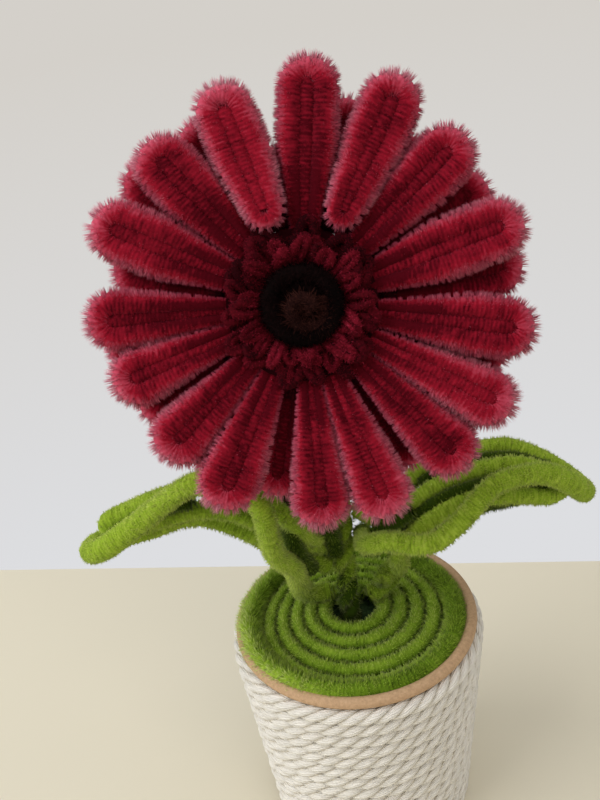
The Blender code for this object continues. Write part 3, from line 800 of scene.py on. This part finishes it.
# Two rings lie under the loops, painted dark as shade, so that no gap shows between them
for reach, depth, radius in ((18.4 * MM, -2.8 * MM, 2.3 * MM), (13.0 * MM, 0.0, 2.4 * MM)):
    loops.append({"points": on_head(ring(reach, depth, 60)), "radii": radius, "cyclic": True,
                  "shade": -0.2})
florets = chenille("florets_plush", loops, floret_crimson, 32, per_comb=16, pitch=0.7 * MM,
                   reach=0.55 * MM, girth=0.13 * MM, step=0.6 * MM, sides=8, lean=0.3, spread=1.0)
dress(florets, "floret_ring")

# %% The dark eye
EYE_RADIUS = 8.6 * MM
EYE_STRAND = 1.8 * MM
EYE_INNER = (0.55, 0.55, 0.5)
eye_seat = HUB_FACE + CLEARANCE
ring_reach = EYE_RADIUS - EYE_STRAND
eye_points = ring(ring_reach, eye_seat + EYE_STRAND, 40)
eye_lines = [{"points": on_head(points), "radii": EYE_STRAND, "cyclic": True}
             for points in (eye_points, eye_points * EYE_INNER)]
eye_ring = chenille("eye_ring_plush", eye_lines, eye_black, 41, per_comb=60, reach=1.3 * MM,
                    girth=0.12 * MM, lean=0.4, spread=1.0)
dress(eye_ring, "eye_ring")

# %% The brown coil in it
CORE_STRAND = 1.05 * MM
CORE_FULL = 1.9 * MM
CORE_CROWN = 1.6 * MM
CORE_ASIDE = 0.6 * MM
CORE_LOW = 1.2 * MM
CORE_SPREAD = 1.35
core_outer = ring_reach - EYE_STRAND - CLEARANCE - CORE_STRAND
core_turns = max((core_outer - CORE_STRAND) / (2 * CORE_STRAND + CLEARANCE), 1.0)
core_points = []
for turn in np.linspace(0, core_turns, 40):
    share = turn / core_turns
    reach = CORE_STRAND + (core_outer - CORE_STRAND) * share
    core_points.append((CORE_SPREAD * reach * math.cos(math.tau * turn) + CORE_ASIDE,
                        CORE_SPREAD * reach * math.sin(math.tau * turn) - CORE_LOW,
                        eye_seat + CORE_STRAND + CORE_CROWN * (1 - share)))
eye_core = chenille("eye_core_plush", [{"points": on_head(core_points), "radii": CORE_FULL}],
                    eye_brown, 42, per_comb=40, pitch=0.6 * MM, reach=1.8 * MM, girth=0.11 * MM,
                    lean=0.4, spread=1.0)
dress(eye_core, "eye_core")

# %% [markdown]
# ## Stem, calyx and leaves
# The stem is two green chenille stems twisted together, so it looks lumpy, and it is painted
# darker towards its foot as shade. A third is wound down the bundle of petal ends behind the
# head. Each leaf is an outline bent from one stem, with a narrower loop inside it for the
# midrib. A Catmull-Rom curve runs smoothly through a few chosen places, which suits wire that
# was bent by hand. The pile of the two loops meets between them, so fill lines lie there,
# painted dark as shade. Towards the leaves' tips the pile lies closer and looks like velvet,
# and near the cup it is painted darker, as shade, because the flower shades it.


# %% A smooth route through chosen places
def smooth_route(places, steps):
    """Points on a smooth curve through the given ones, steps to each stretch."""
    knots = [np.asarray(place, float) for place in places]
    ends = [2 * knots[0] - knots[1], *knots, 2 * knots[-1] - knots[-2]]
    route = []
    for a, b, c, d in zip(ends, ends[1:], ends[2:], ends[3:]):
        for step in range(steps):
            t = step / steps
            route.append(0.5 * (2 * b + (c - a) * t + (2 * a - 5 * b + 4 * c - d) * t * t
                                + (3 * b - a - 3 * c + d) * t ** 3))
    route.append(knots[-1])
    return np.array(route)


def above_rim(places):
    """Places in millimetres from the middle of the cup's rim."""
    return np.asarray(places, float) * MM + np.array([0.0, 0.0, CUP_HEIGHT])


# %% The twisted stem
STEM_STRAND = 1.15 * MM
STEM_FULL = 1.75 * MM
STEM_STEP = 0.6 * MM
STEM_PITCH = 12.0 * MM
STEM_DEPTH = 25.0 * MM
STEM_FOOT = np.array([-1.2, 4.8, 0.0]) * MM
GRASS_STRAND = 2.3 * MM
GRASS_DROP = 0.5 * MM
HUB_LENGTH = 17.0 * MM
HUB_NECK_RADIUS = 4.2 * MM
FOOT_SHADE = 0.6
FOOT_SHADE_TOP = 12.0 * MM
FOOT_SHADE_FALL = 14.0 * MM
grass_top = CUP_HEIGHT - GRASS_DROP
foam_top = grass_top - 2 * GRASS_STRAND - CLEARANCE
hub_back = HUB_FACE - HUB_LENGTH
stem_twist = STEM_STRAND + CLEARANCE / 2
stem_places = [STEM_FOOT + (0, 0, foam_top - STEM_DEPTH), STEM_FOOT + (0, 0, CUP_HEIGHT),
               *above_rim([(-1.0, 6.2, 14), (-0.8, 8.0, 27), (-0.8, 10.5, 44), (-1.6, 12.6, 60),
                           (-2.8, 13.8, 73)]),
               on_head([(0, -1.5 * MM, hub_back - 6 * MM)])[0],
               on_head([(0, 0, hub_back - CLEARANCE)])[0]]
stem_line, stem_runs = evenly({"points": smooth_route(stem_places, steps=12)}, STEM_STEP)
stem_line = stem_line[:, :3]
_, stem_side, stem_other = directions(stem_line)
# Painted shade: the stem's pile is darker towards its foot, down in the cup's mouth
sunk = np.clip((CUP_HEIGHT + FOOT_SHADE_TOP - stem_line[:, 2]) / FOOT_SHADE_FALL, 0.0, 1.0)
for node, phase, seed in (("stem_strand_a", 0.0, 51), ("stem_strand_b", math.pi, 52)):
    spokes = spokes_at(stem_runs / STEM_PITCH * math.tau + phase, stem_side, stem_other)
    strand = {"points": stem_line + spokes * stem_twist, "radii": STEM_FULL,
              "shade": -FOOT_SHADE * sunk}
    piece = chenille(node + "_plush", [strand], leaf_green, seed, per_comb=30, pitch=0.8 * MM,
                     reach=1.3 * MM, girth=0.13 * MM, sides=10, lean=0.28)
    dress(piece, node)

# %% The calyx, wound down the bound petal ends
WRAP_STRAND = 1.6 * MM
WRAP_FULL = 2.0 * MM
shoulder = np.array([HUB_RADIUS, -BACK_LAYER_DROP - PETAL_STRAND / 2 - CLEARANCE])
neck = np.array([HUB_NECK_RADIUS, hub_back])
slant = neck - shoulder
slant_length = float(np.linalg.norm(slant))
slant /= slant_length
off = np.array([-slant[1], slant[0]]) * (WRAP_STRAND + 2 * CLEARANCE)
wound = slant_length - 3 * WRAP_STRAND
wrap_turns = wound / (2 * WRAP_STRAND + CLEARANCE)
wrap_points = []
for share in np.linspace(0, 1, 90):
    out, height = shoulder + slant * (2 * WRAP_STRAND + wound * share) + off
    angle = math.tau * wrap_turns * share
    wrap_points.append((out * math.cos(angle), out * math.sin(angle), height))
calyx = chenille("calyx_plush", [{"points": on_head(wrap_points), "radii": WRAP_FULL}],
                 leaf_green, 53, per_comb=32, pitch=0.8 * MM, reach=0.9 * MM, girth=0.14 * MM,
                 sides=10)
dress(calyx, "calyx_wrap")

# %% The leaves' routes, in millimetres from the middle of the rim
LEAF_STRAND = 2.3 * MM
LEFT_TIP = 62.0
RIGHT_TIP = 60.6
grass_rest = (LEAF_STRAND + CLEARANCE - GRASS_DROP) / MM
LEAF_ROUTES = {
    "left_leaf_outline": [
        (-6.0, 7.4, grass_rest), (-9.6, 6.6, grass_rest + 0.4), (-12.8, 3.6, 6.6),
        (-13.4, -2.0, 15.5), (-14.2, -7.5, 24.0), (-17.4, -12.0, 31.5), (-18.4, -15.0, 39.9),
        (-18.8, -16.0, 48.2), (-22.0, -15.5, 53.8), (-26.8, -14.0, 56.8), (-33.0, -12.0, 55.6),
        (-40.5, -9.0, 49.3), (-50.5, -6.0, 40.3), (-58.0, -5.0, 34.8), (-LEFT_TIP, -1.5, 31.6),
        (-59.5, 3.4, 30.6), (-48.3, 5.0, 31.3), (-39.0, 5.0, 33.3), (-32.5, 5.0, 31.9),
        (-24.4, 4.0, 27.4), (-15.7, 3.0, 20.4), (-5.6, 5.9, 12.0)],
    "left_leaf_midrib": [
        (-5.0, 7.2, 24.1), (-8.2, 1.2, 25.0), (-11.1, -3.0, 31.2), (-15.1, -6.0, 39.4),
        (-20.0, -5.8, 45.0), (-26.0, -4.0, 48.2), (-33.3, -3.0, 47.8), (-43.1, -1.0, 44.6),
        (-50.8, 0.0, 41.0), (-56.6, 0.2, 38.2), (-54.0, 0.6, 35.8), (-43.6, 0.0, 37.8),
        (-35.0, -1.0, 39.6), (-27.0, -1.0, 37.8), (-19.0, -1.0, 32.2), (-12.0, 0.5, 24.6),
        (-5.0, 6.4, 18.1)],
    "right_leaf_outline": [
        (4.2, 7.2, 20.0), (4.4, 2.0, 22.4), (4.0, -3.4, 25.0), (5.8, -7.4, 28.0), (9.7, -10.4, 30.4),
        (15.1, -14.0, 31.5), (19.6, -15.0, 32.4), (24.2, -14.0, 35.0), (28.6, -12.0, 37.6),
        (32.3, -9.0, 39.6), (36.7, -6.0, 40.4), (42.8, -3.0, 39.3), (49.5, 0.0, 36.7),
        (55.6, 2.6, 31.4), (RIGHT_TIP, 7.0, 24.6), (58.2, 11.0, 25.8), (51.9, 13.0, 30.8),
        (46.6, 14.0, 34.0), (42.7, 15.0, 35.3), (37.1, 15.0, 35.6), (29.6, 14.0, 35.0),
        (22.8, 11.6, 35.0), (17.0, 9.8, 32.0), (13.8, 8.8, 25.0), (14.6, 9.2, 17.0),
        (13.4, 9.2, 9.0), (10.2, 7.4, 3.4), (4.6, 3.7, grass_rest)],
    "right_leaf_midrib": [
        (3.4, 8.0, 27.0), (8.0, 4.4, 26.0), (12.4, 2.4, 26.8), (16.6, 2.2, 30.4), (20.8, 2.8, 33.6),
        (26.4, 4.0, 35.2), (31.8, 5.0, 36.2), (36.6, 6.0, 36.2), (43.0, 7.0, 35.4),
        (49.4, 6.8, 32.6), (55.0, 6.4, 28.8), (51.4, 4.2, 27.2), (44.8, 2.0, 29.6),
        (38.4, -0.2, 32.0), (32.0, -1.4, 33.2), (26.0, -2.2, 32.2), (19.6, -2.8, 28.8),
        (14.4, -2.6, 23.8), (12.2, -0.4, 17.4), (12.8, 3.2, 11.6), (11.0, 5.2, 8.4),
        (8.6, 4.6, 7.4), (7.7, 2.2, 7.4)],
}
# Pile of neighbouring strands that meets between them, painted dark as shade
LEAF_FILL = {
    "left_leaf_midrib": [
        [(-50.0, -1.0, 38.6), (-45.0, -2.0, 41.4), (-40.0, -2.6, 43.6), (-36.0, -3.0, 44.2)],
        [(-14.0, -2.0, 41.1), (-10.6, -1.0, 36.8), (-6.6, 1.0, 30.6), (-3.9, 3.0, 23.9),
         (-3.1, 4.0, 17.4)],
        [(-13.4, -4.0, 34.0), (-13.0, -3.6, 27.0), (-11.6, -1.4, 21.0), (-9.6, 1.0, 15.6)]],
    "right_leaf_midrib": [
        [(7.2, -1.0, 27.2), (9.8, -1.4, 28.6), (12.5, -1.4, 29.6), (15.6, -1.0, 31.2)],
        [(16.0, 0.2, 27.4), (22.0, -0.4, 31.8), (28.0, 0.2, 34.0), (35.0, 1.4, 34.2),
         (43.0, 3.8, 32.6), (50.0, 4.6, 30.2)],
        [(14.5, 0.5, 23.0), (19.6, 0.0, 24.6), (26.0, 0.0, 27.6), (32.0, 0.6, 29.2),
         (38.0, 1.8, 29.0), (44.0, 4.0, 28.0)],
        [(20.0, 7.0, 32.6), (25.0, 8.6, 34.4), (31.0, 9.6, 35.2), (38.0, 10.4, 35.2),
         (45.0, 10.8, 33.8), (52.0, 10.0, 30.6)]],
}
print("places on the leaves' routes:", {node: len(places) for node, places in LEAF_ROUTES.items()})

# %% The leaves' pile
# Near the cup the leaves are painted darker as shade; towards their tips they are fuller, with
# shorter pile
LEAF_FULL = LEAF_STRAND + 0.45 * MM
MIDRIB_FULL = 1.8 * MM + 0.75 * MM
FILL_FULL = 2.4 * MM
FILL_SHADE = 0.42
LEAF_FOOT_SHADE = 0.10
LEAF_FOOT_FAR = 28.0 * MM
LEAF_FOOT_DEEP = 20.0 * MM
VELVET_FROM = 40.0 * MM
VELVET_FALL = 14.0 * MM
VELVET_FULL = 0.6 * MM
VELVET_SHORT = 0.35
for seed, (node, places) in enumerate(LEAF_ROUTES.items(), start=61):
    route = smooth_route(above_rim(places), steps=8)
    radius = LEAF_FULL if node.endswith("outline") else MIDRIB_FULL
    apart = np.linalg.norm(route - STEM_FOOT - (0, 0, CUP_HEIGHT), axis=1)
    near = np.clip((LEAF_FOOT_FAR - apart) / LEAF_FOOT_DEEP, 0.0, 1.0)
    velvet = np.clip((np.abs(route[:, 0]) - VELVET_FROM) / VELVET_FALL, 0.0, 1.0)
    lines = [{"points": route, "radii": radius + VELVET_FULL * velvet,
              "reach": 1 - VELVET_SHORT * velvet, "shade": -LEAF_FOOT_SHADE * near}]
    lines += [{"points": smooth_route(above_rim(fill), steps=6), "radii": FILL_FULL,
               "shade": -FILL_SHADE} for fill in LEAF_FILL.get(node, [])]
    leaf = chenille(node + "_plush", lines, leaf_green, seed, per_comb=54, pitch=0.75 * MM,
                    reach=0.80 * MM, girth=0.13 * MM, spread=0.35, lean=0.07, ground=0.30, tip=0.34)
    dress(leaf, node)

# %% [markdown]
# ## The cup and what fills it
# A chenille stem is laid as a flat spiral in the cup's mouth, like a disc of turf. Its tufts
# stand all round it, and the ones on top are painted paler than those in the grooves, as
# painted light on top and painted shade in the grooves. One more turn round its edge swells
# over the cup's left rim, where the real pile spills out, and there it is painted paler, as
# painted light.

# %% The grass spiral
PAPER = 0.5 * MM
RIM_RADIUS = 31.0 * MM
RIM_CURL_RADIUS = 1.5 * MM
BASE_RADIUS = 22.5 * MM
GRASS_START = 0.15
GRASS_PROUD = 0.15 * MM
GRASS_SHADE = 0.15
curl_height = CUP_HEIGHT - RIM_CURL_RADIUS
wall_top = RIM_RADIUS - 2 * RIM_CURL_RADIUS + PAPER / 2
wall_base = BASE_RADIUS - PAPER / 2


def wall_radius(height):
    """The radius of the cup's conical wall, along the middle of its paper."""
    return wall_base + (wall_top - wall_base) * height / curl_height


stem_radius = stem_twist / math.cos(math.pi / 8) + STEM_STRAND
grass_inner = stem_radius + 2 * CLEARANCE + GRASS_STRAND
grass_outer = wall_radius(foam_top) - PAPER / 2 - CLEARANCE - GRASS_STRAND
grass_grow = grass_outer - grass_inner
grass_turns = (grass_grow + float(np.linalg.norm(STEM_FOOT))) / (2 * GRASS_STRAND + CLEARANCE)
grass_points, grass_radii = [], []
for share in np.linspace(0, 1, 240):
    angle = math.tau * (share * grass_turns + GRASS_START)
    out = np.array([math.cos(angle), math.sin(angle), 0.0])
    room = (grass_grow - STEM_FOOT.dot(out)) / grass_turns
    radius = min(room - CLEARANCE, 2 * GRASS_STRAND) / 2
    place = STEM_FOOT * (1 - share) + out * (grass_inner + grass_grow * share)
    grass_points.append((place[0], place[1], grass_top - radius))
    grass_radii.append(radius + GRASS_PROUD)
# Painted light and shade: the spiral is painted darker, as shade in its grooves, and its tufts paler
# on top, as painted light
spiral = {"points": grass_points, "radii": grass_radii, "shade": -GRASS_SHADE,
          "lit_side": np.broadcast_to([0.0, 0.0, 1.0], (len(grass_points), 3))}
print("turns of grass:", round(grass_turns, 2))

# %% The grass's edge, and its pile
# Towards EDGE_OVER the edge stands higher and its pile is longer, as it hangs over the rim
# there, and it is painted paler there, as painted light
EDGE_ASIDE = 0.9 * MM
EDGE_WIDE = 0.7 * MM
EDGE_PROUD = 0.9 * MM
EDGE_FULL = GRASS_STRAND + 0.7 * MM
EDGE_DROP = 1.7 * MM
EDGE_RISE = 0.9 * MM
EDGE_SPILL = 0.7
EDGE_UP = 0.5
EDGE_OVER = math.radians(192)
edge_turns = np.linspace(0, math.tau, 80, endpoint=False)
edge_reach = grass_outer + EDGE_PROUD
leftward = np.clip(np.cos(edge_turns - EDGE_OVER), 0.0, 1.0)
edge_out = ring(1.0, 0.0, 80)
edge_points = edge_out * (edge_reach + EDGE_WIDE * np.abs(edge_out[:, :1])) - (EDGE_ASIDE, 0, 0)
edge_points[:, 2] = CUP_HEIGHT - EDGE_DROP + EDGE_RISE * leftward
edge = {"points": edge_points, "radii": EDGE_FULL, "cyclic": True,
        "lit_side": unit(edge_out + (0, 0, EDGE_UP)) * leftward[:, None],
        "reach": 1.0 + EDGE_SPILL * leftward, "style": {"per_comb": 76}}
grass = chenille("grass_plush", [spiral, edge], grass_green, 71, per_comb=38, pitch=0.8 * MM,
                 reach=0.95 * MM, girth=0.14 * MM, lean=0.10, ground=0.24, tip=0.45)
dress(grass, "grass_spiral")

# %% [markdown]
# The cord is cotton, three plies laid together, wound in close turns from the rim down to
# the table. A ply is a tube that screws round the cord's own middle line. Each ply is itself
# spun from fine yarns, which show as slanting lines, and fine fibres roughen its surface, as a bump.

# %% Spun cotton
YARN = 0.35 * MM
YARN_CLUMP = 2.5 * MM
YARN_STRAY = 14.0
YARN_MOTTLE = 0.35


def cotton_finish():
    """Natural cotton yarn: matt, off-white, ridged by its spin, and painted greyer in its grooves as
    shade.
    """
    material, shader = new_material("spun_cotton", roughness=0.9, specular=0.2)
    place = add_node(material, "ShaderNodeTexCoord").outputs["Object"]
    groove_shade = add_node(material, "ShaderNodeAttribute", attribute_name="pile").outputs["Fac"]
    yarns = add_node(material, "ShaderNodeAttribute", attribute_name="yarn").outputs["Fac"]
    fibres = add_node(material, "ShaderNodeTexNoise", {
        "Vector": place, "Scale": 1 / YARN, "Detail": 3.0, "Roughness": 0.65}).outputs["Fac"]
    clumps = add_node(material, "ShaderNodeTexNoise", {
        "Vector": place, "Scale": 1 / YARN_CLUMP, "Detail": 2.0}).outputs["Fac"]
    strayed = add_node(material, "ShaderNodeMath", {0: clumps, 1: YARN_STRAY, 2: yarns},
                       operation="MULTIPLY_ADD").outputs[0]
    ridges = add_node(material, "ShaderNodeMath", {0: strayed}, operation="SINE").outputs[0]
    rough = add_node(material, "ShaderNodeMath", {0: ridges, 1: 0.5, 2: fibres},
                     operation="MULTIPLY_ADD").outputs[0]
    mottle = add_node(material, "ShaderNodeMath", {0: rough, 1: YARN_MOTTLE, 2: -0.17},
                      operation="MULTIPLY_ADD").outputs[0]
    # The grooves between the plies are painted greyer, as shade
    shade = add_node(material, "ShaderNodeMath", {0: groove_shade, 1: mottle}, use_clamp=True).outputs[0]
    colour = ramp(material, shade, [(0.0, "#A4967E"), (0.35, "#D8D0BF"), (0.8, "#F5F1E8")])
    link(material, colour, shader, "Base Color")
    bump = add_node(material, "ShaderNodeBump",
                    {"Height": rough, "Strength": 0.9, "Distance": 0.2 * MM})
    link(material, bump.outputs["Normal"], shader, "Normal")
    return material


# %% Kraft paper
PAPER_FIBRE = 0.8 * MM


def kraft_finish():
    """Uncoated kraft paper: tan, matt, with short darker fibres pressed into it."""
    material, shader = new_material("kraft_paper", roughness=0.8, specular=0.3)
    place = add_node(material, "ShaderNodeTexCoord").outputs["Object"]
    fibres = add_node(material, "ShaderNodeTexNoise",
                      {"Vector": place, "Scale": 1 / PAPER_FIBRE, "Detail": 4.0, "Roughness": 0.7})
    colour = ramp(material, fibres.outputs["Fac"],
                  [(0.25, "#A48668"), (0.5, "#BE9C78"), (0.75, "#CEAE8C")])
    link(material, colour, shader, "Base Color")
    bump = add_node(material, "ShaderNodeBump",
                    {"Height": fibres.outputs["Fac"], "Strength": 0.3, "Distance": 0.05 * MM})
    link(material, bump.outputs["Normal"], shader, "Normal")
    return material


cotton = cotton_finish()
kraft = kraft_finish()
print("cord and paper:", cotton.name, kraft.name)

# %% The cord's route, from its tucked tail to the table
ROPE_DIAMETER = 4.0 * MM
ROPE_GAP = 0.1 * MM
ROPE_END_ANGLE = math.radians(-135)
ROPE_STEP_SHARE = 0.2
ROPE_LAST_TURN = 0.75
TAIL_SHARE = 0.15
TAIL_LEAST = 0.3
TAIL_POINTS = 60
ROPE_POINTS = 1800
ROPE_STEP = 0.8 * MM
rope_radius = ROPE_DIAMETER / 2
rope_top = curl_height - RIM_CURL_RADIUS - CLEARANCE - rope_radius
rope_foot = rope_radius + CLEARANCE
rope_drops = int((rope_top - rope_foot) / (ROPE_DIAMETER + ROPE_GAP))
rope_pitch = (rope_top - rope_foot) / rope_drops


def slide(part):
    """How far the cord has dropped to its next turn, from 0 to 1."""
    late = min(max((part - 1 + ROPE_STEP_SHARE) / ROPE_STEP_SHARE, 0.0), 1.0)
    return late * late * (3 - 2 * late)


def cord_place(part, height, girth):
    """A point of the cord's middle line: part of a turn round the wall, at a height."""
    out = wall_radius(height) + PAPER / 2 + CLEARANCE + rope_radius * girth
    angle = ROPE_END_ANGLE + math.tau * part
    return out * math.cos(angle), out * math.sin(angle), height


rope_points, rope_girths = [], []
for part in np.linspace(-TAIL_SHARE, 0.0, TAIL_POINTS)[:-1]:
    girth = max(slide(1 + part) * rope_pitch / ROPE_DIAMETER, TAIL_LEAST)
    rope_points.append(cord_place(part, rope_top + rope_radius * (1 - girth), girth))
    rope_girths.append(min(girth, 1.0))
for turns in np.linspace(0, rope_drops + ROPE_LAST_TURN, ROPE_POINTS):
    turn = math.floor(turns)
    height = max(rope_top - rope_pitch * (turn + slide(turns - turn)), rope_foot)
    rope_points.append(cord_place(turns - turn, height, 1.0))
    rope_girths.append(1.0)
rope_even, rope_runs = evenly({"points": rope_points, "radii": rope_girths}, ROPE_STEP)
rope_line, rope_girth = rope_even[:, :3], rope_even[:, 3]
print("cord length, m:", round(float(rope_runs[-1]), 2))

# %% The cord's three plies
LAY_LENGTH = 13.0 * MM
PLIES = 3
PLY_RADIUS = 1.20 * MM
PLY_OFFSET = 1.0 * MM
PLY_SIDES = 8
GROOVE_DEEP = 1.2 * MM
GROOVE_RISE = 0.9 * MM
YARN_RIDGES = 14
YARN_SLANT = 2
rope_heading = unit(np.gradient(rope_line, axis=0))
rope_out = rope_line * np.array([1.0, 1.0, 0.0])
rope_out = unit(rope_out - rope_heading * dots(rope_out, rope_heading)[:, None])
rope_up = np.cross(rope_out, rope_heading)
rope_up *= np.sign(rope_up[:, 2])[:, None]
nearest = np.repeat(np.arange(len(rope_line)), PLY_SIDES)
ply_corners, ply_faces, ply_groove_shade, ply_yarn = [], [], [], []
for ply in range(PLIES):
    spokes = spokes_at(rope_runs / LAY_LENGTH * math.tau + ply * math.tau / PLIES, rope_out, rope_up)
    spokes *= rope_girth[:, None]
    corners, _, faces = core_tube(rope_line + spokes * PLY_OFFSET, PLY_RADIUS * rope_girth,
                                  PLY_SIDES)
    ply_faces += [[ply * len(corners) + corner for corner in face] for face in faces]
    ply_corners.append(corners)
    own = corners - rope_line[nearest]
    depth = np.linalg.norm(own, axis=1) / rope_girth[nearest]
    # Painted shade: deep between the plies, near the cord's middle, the value is low
    ply_groove_shade.append(np.clip((depth - GROOVE_DEEP) / GROOVE_RISE, 0, 1))
    own = own - spokes[nearest] * PLY_OFFSET
    round_ply = np.arctan2(dots(own, rope_up[nearest]), dots(own, rope_out[nearest]))
    ply_yarn.append(round_ply * YARN_RIDGES
                    + rope_runs[nearest] / LAY_LENGTH * math.tau * YARN_SLANT)
rope = as_mesh("laid_cord", np.vstack(ply_corners), ply_faces,
               {"pile": np.concatenate(ply_groove_shade), "yarn": np.concatenate(ply_yarn)}, cotton)
dress(rope, "rope_wrap")
print("cord faces:", len(ply_faces))

# %% [markdown]
# A paper cup's rim is its wall rolled outwards into a bead, and its foot is folded in over
# the bottom. Both are a line turned round the cup's axis, so one spun profile makes them.

# %% The paper cup
RIM_CURL_SWEEP = math.radians(290)
RIM_CURL_STEPS = 24
HEM_HEIGHT = 4.5 * MM
HEM_BEND = 1 * MM
CUP_SIDES = 144


def sheet_profile(line, thickness):
    """The closed outline of thin paper that follows a line of (radius, height)."""
    near, far = [], []
    for index, (radius, height) in enumerate(line):
        before = Vector(line[max(index - 1, 0)])
        after = Vector(line[min(index + 1, len(line) - 1)])
        along = (after - before).normalized()
        side = Vector((-along.y, along.x)) * thickness / 2
        near.append((radius + side.x, height + side.y))
        far.append((radius - side.x, height - side.y))
    return near + far[::-1]


layer = PAPER + CLEARANCE
curl_centre = RIM_RADIUS - RIM_CURL_RADIUS
curl_line = RIM_CURL_RADIUS - PAPER / 2
cup_line = [(wall_radius(HEM_HEIGHT) - 2 * layer, HEM_HEIGHT),
            (wall_radius(HEM_BEND) - 2 * layer, HEM_BEND),
            (wall_radius(0) - 1.6 * layer, PAPER / 2), (wall_radius(0) - 0.3 * layer, PAPER / 2),
            (wall_radius(HEM_BEND), HEM_BEND)]
cup_line += [(wall_radius(curl_height * share), curl_height * share) for share in (0.25, 0.5, 0.75)]
for step in range(RIM_CURL_STEPS + 1):
    angle = math.pi - RIM_CURL_SWEEP * step / RIM_CURL_STEPS
    cup_line.append((curl_centre + curl_line * math.cos(angle),
                     curl_height + curl_line * math.sin(angle)))
shape = bmesh.new()
profile = [shape.verts.new((radius, 0.0, height))
           for radius, height in sheet_profile(cup_line, PAPER)]
edges = [shape.edges.new(pair) for pair in zip(profile, profile[1:] + profile[:1])]
bmesh.ops.spin(shape, geom=profile + edges, cent=(0, 0, 0), axis=(0, 0, 1), angle=math.tau,
               steps=CUP_SIDES, use_merge=True)
bmesh.ops.remove_doubles(shape, verts=shape.verts, dist=1e-6)
bmesh.ops.recalc_face_normals(shape, faces=shape.faces)
cup_mesh = bpy.data.meshes.new("rolled_cup")
shape.to_mesh(cup_mesh)
shape.free()
cup_mesh.shade_smooth()
cup_mesh.materials.append(kraft)
dress(new_object("rolled_cup", cup_mesh), "cup_wall")
print("cup faces:", len(cup_mesh.polygons))


# %% [markdown]
# The bottom, the filling and the bundle of petal ends keep their solids, because so little of
# them shows. The filling is floral foam, a crushed green mass of fine cells, so a Voronoi
# pattern of that size makes each cell darker at its edge. Paper and pile are used again.


# %% Finishes for the pieces that keep their solids
FOAM_CELL = 0.8 * MM


def repaint(node, material):
    """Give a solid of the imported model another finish."""
    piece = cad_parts[node]
    for holder in piece.material_slots:
        holder.material = material


def foam_finish():
    """Floral foam: dark green, crushed cells, matt."""
    material, shader = new_material("floral_foam", roughness=0.95, specular=0.1)
    place = add_node(material, "ShaderNodeTexCoord").outputs["Object"]
    cells = add_node(material, "ShaderNodeTexVoronoi", {"Vector": place, "Scale": 1 / FOAM_CELL})
    colour = ramp(material, cells.outputs["Distance"], [(0.1, "#3C5430"), (0.8, "#22321C")])
    link(material, colour, shader, "Base Color")
    return material


repaint("cup_bottom", kraft)
repaint("foam_plug", foam_finish())
repaint("petal_binding", floret_crimson)
print("solids that stay:", ["cup_bottom", "foam_plug", "petal_binding"])

# %% [markdown]
# ## Count the triangles
# The pile may stand a little proud of the solids.

# %% Count the chenille's triangles
print("triangles of chenille:", sum(triangles_made))
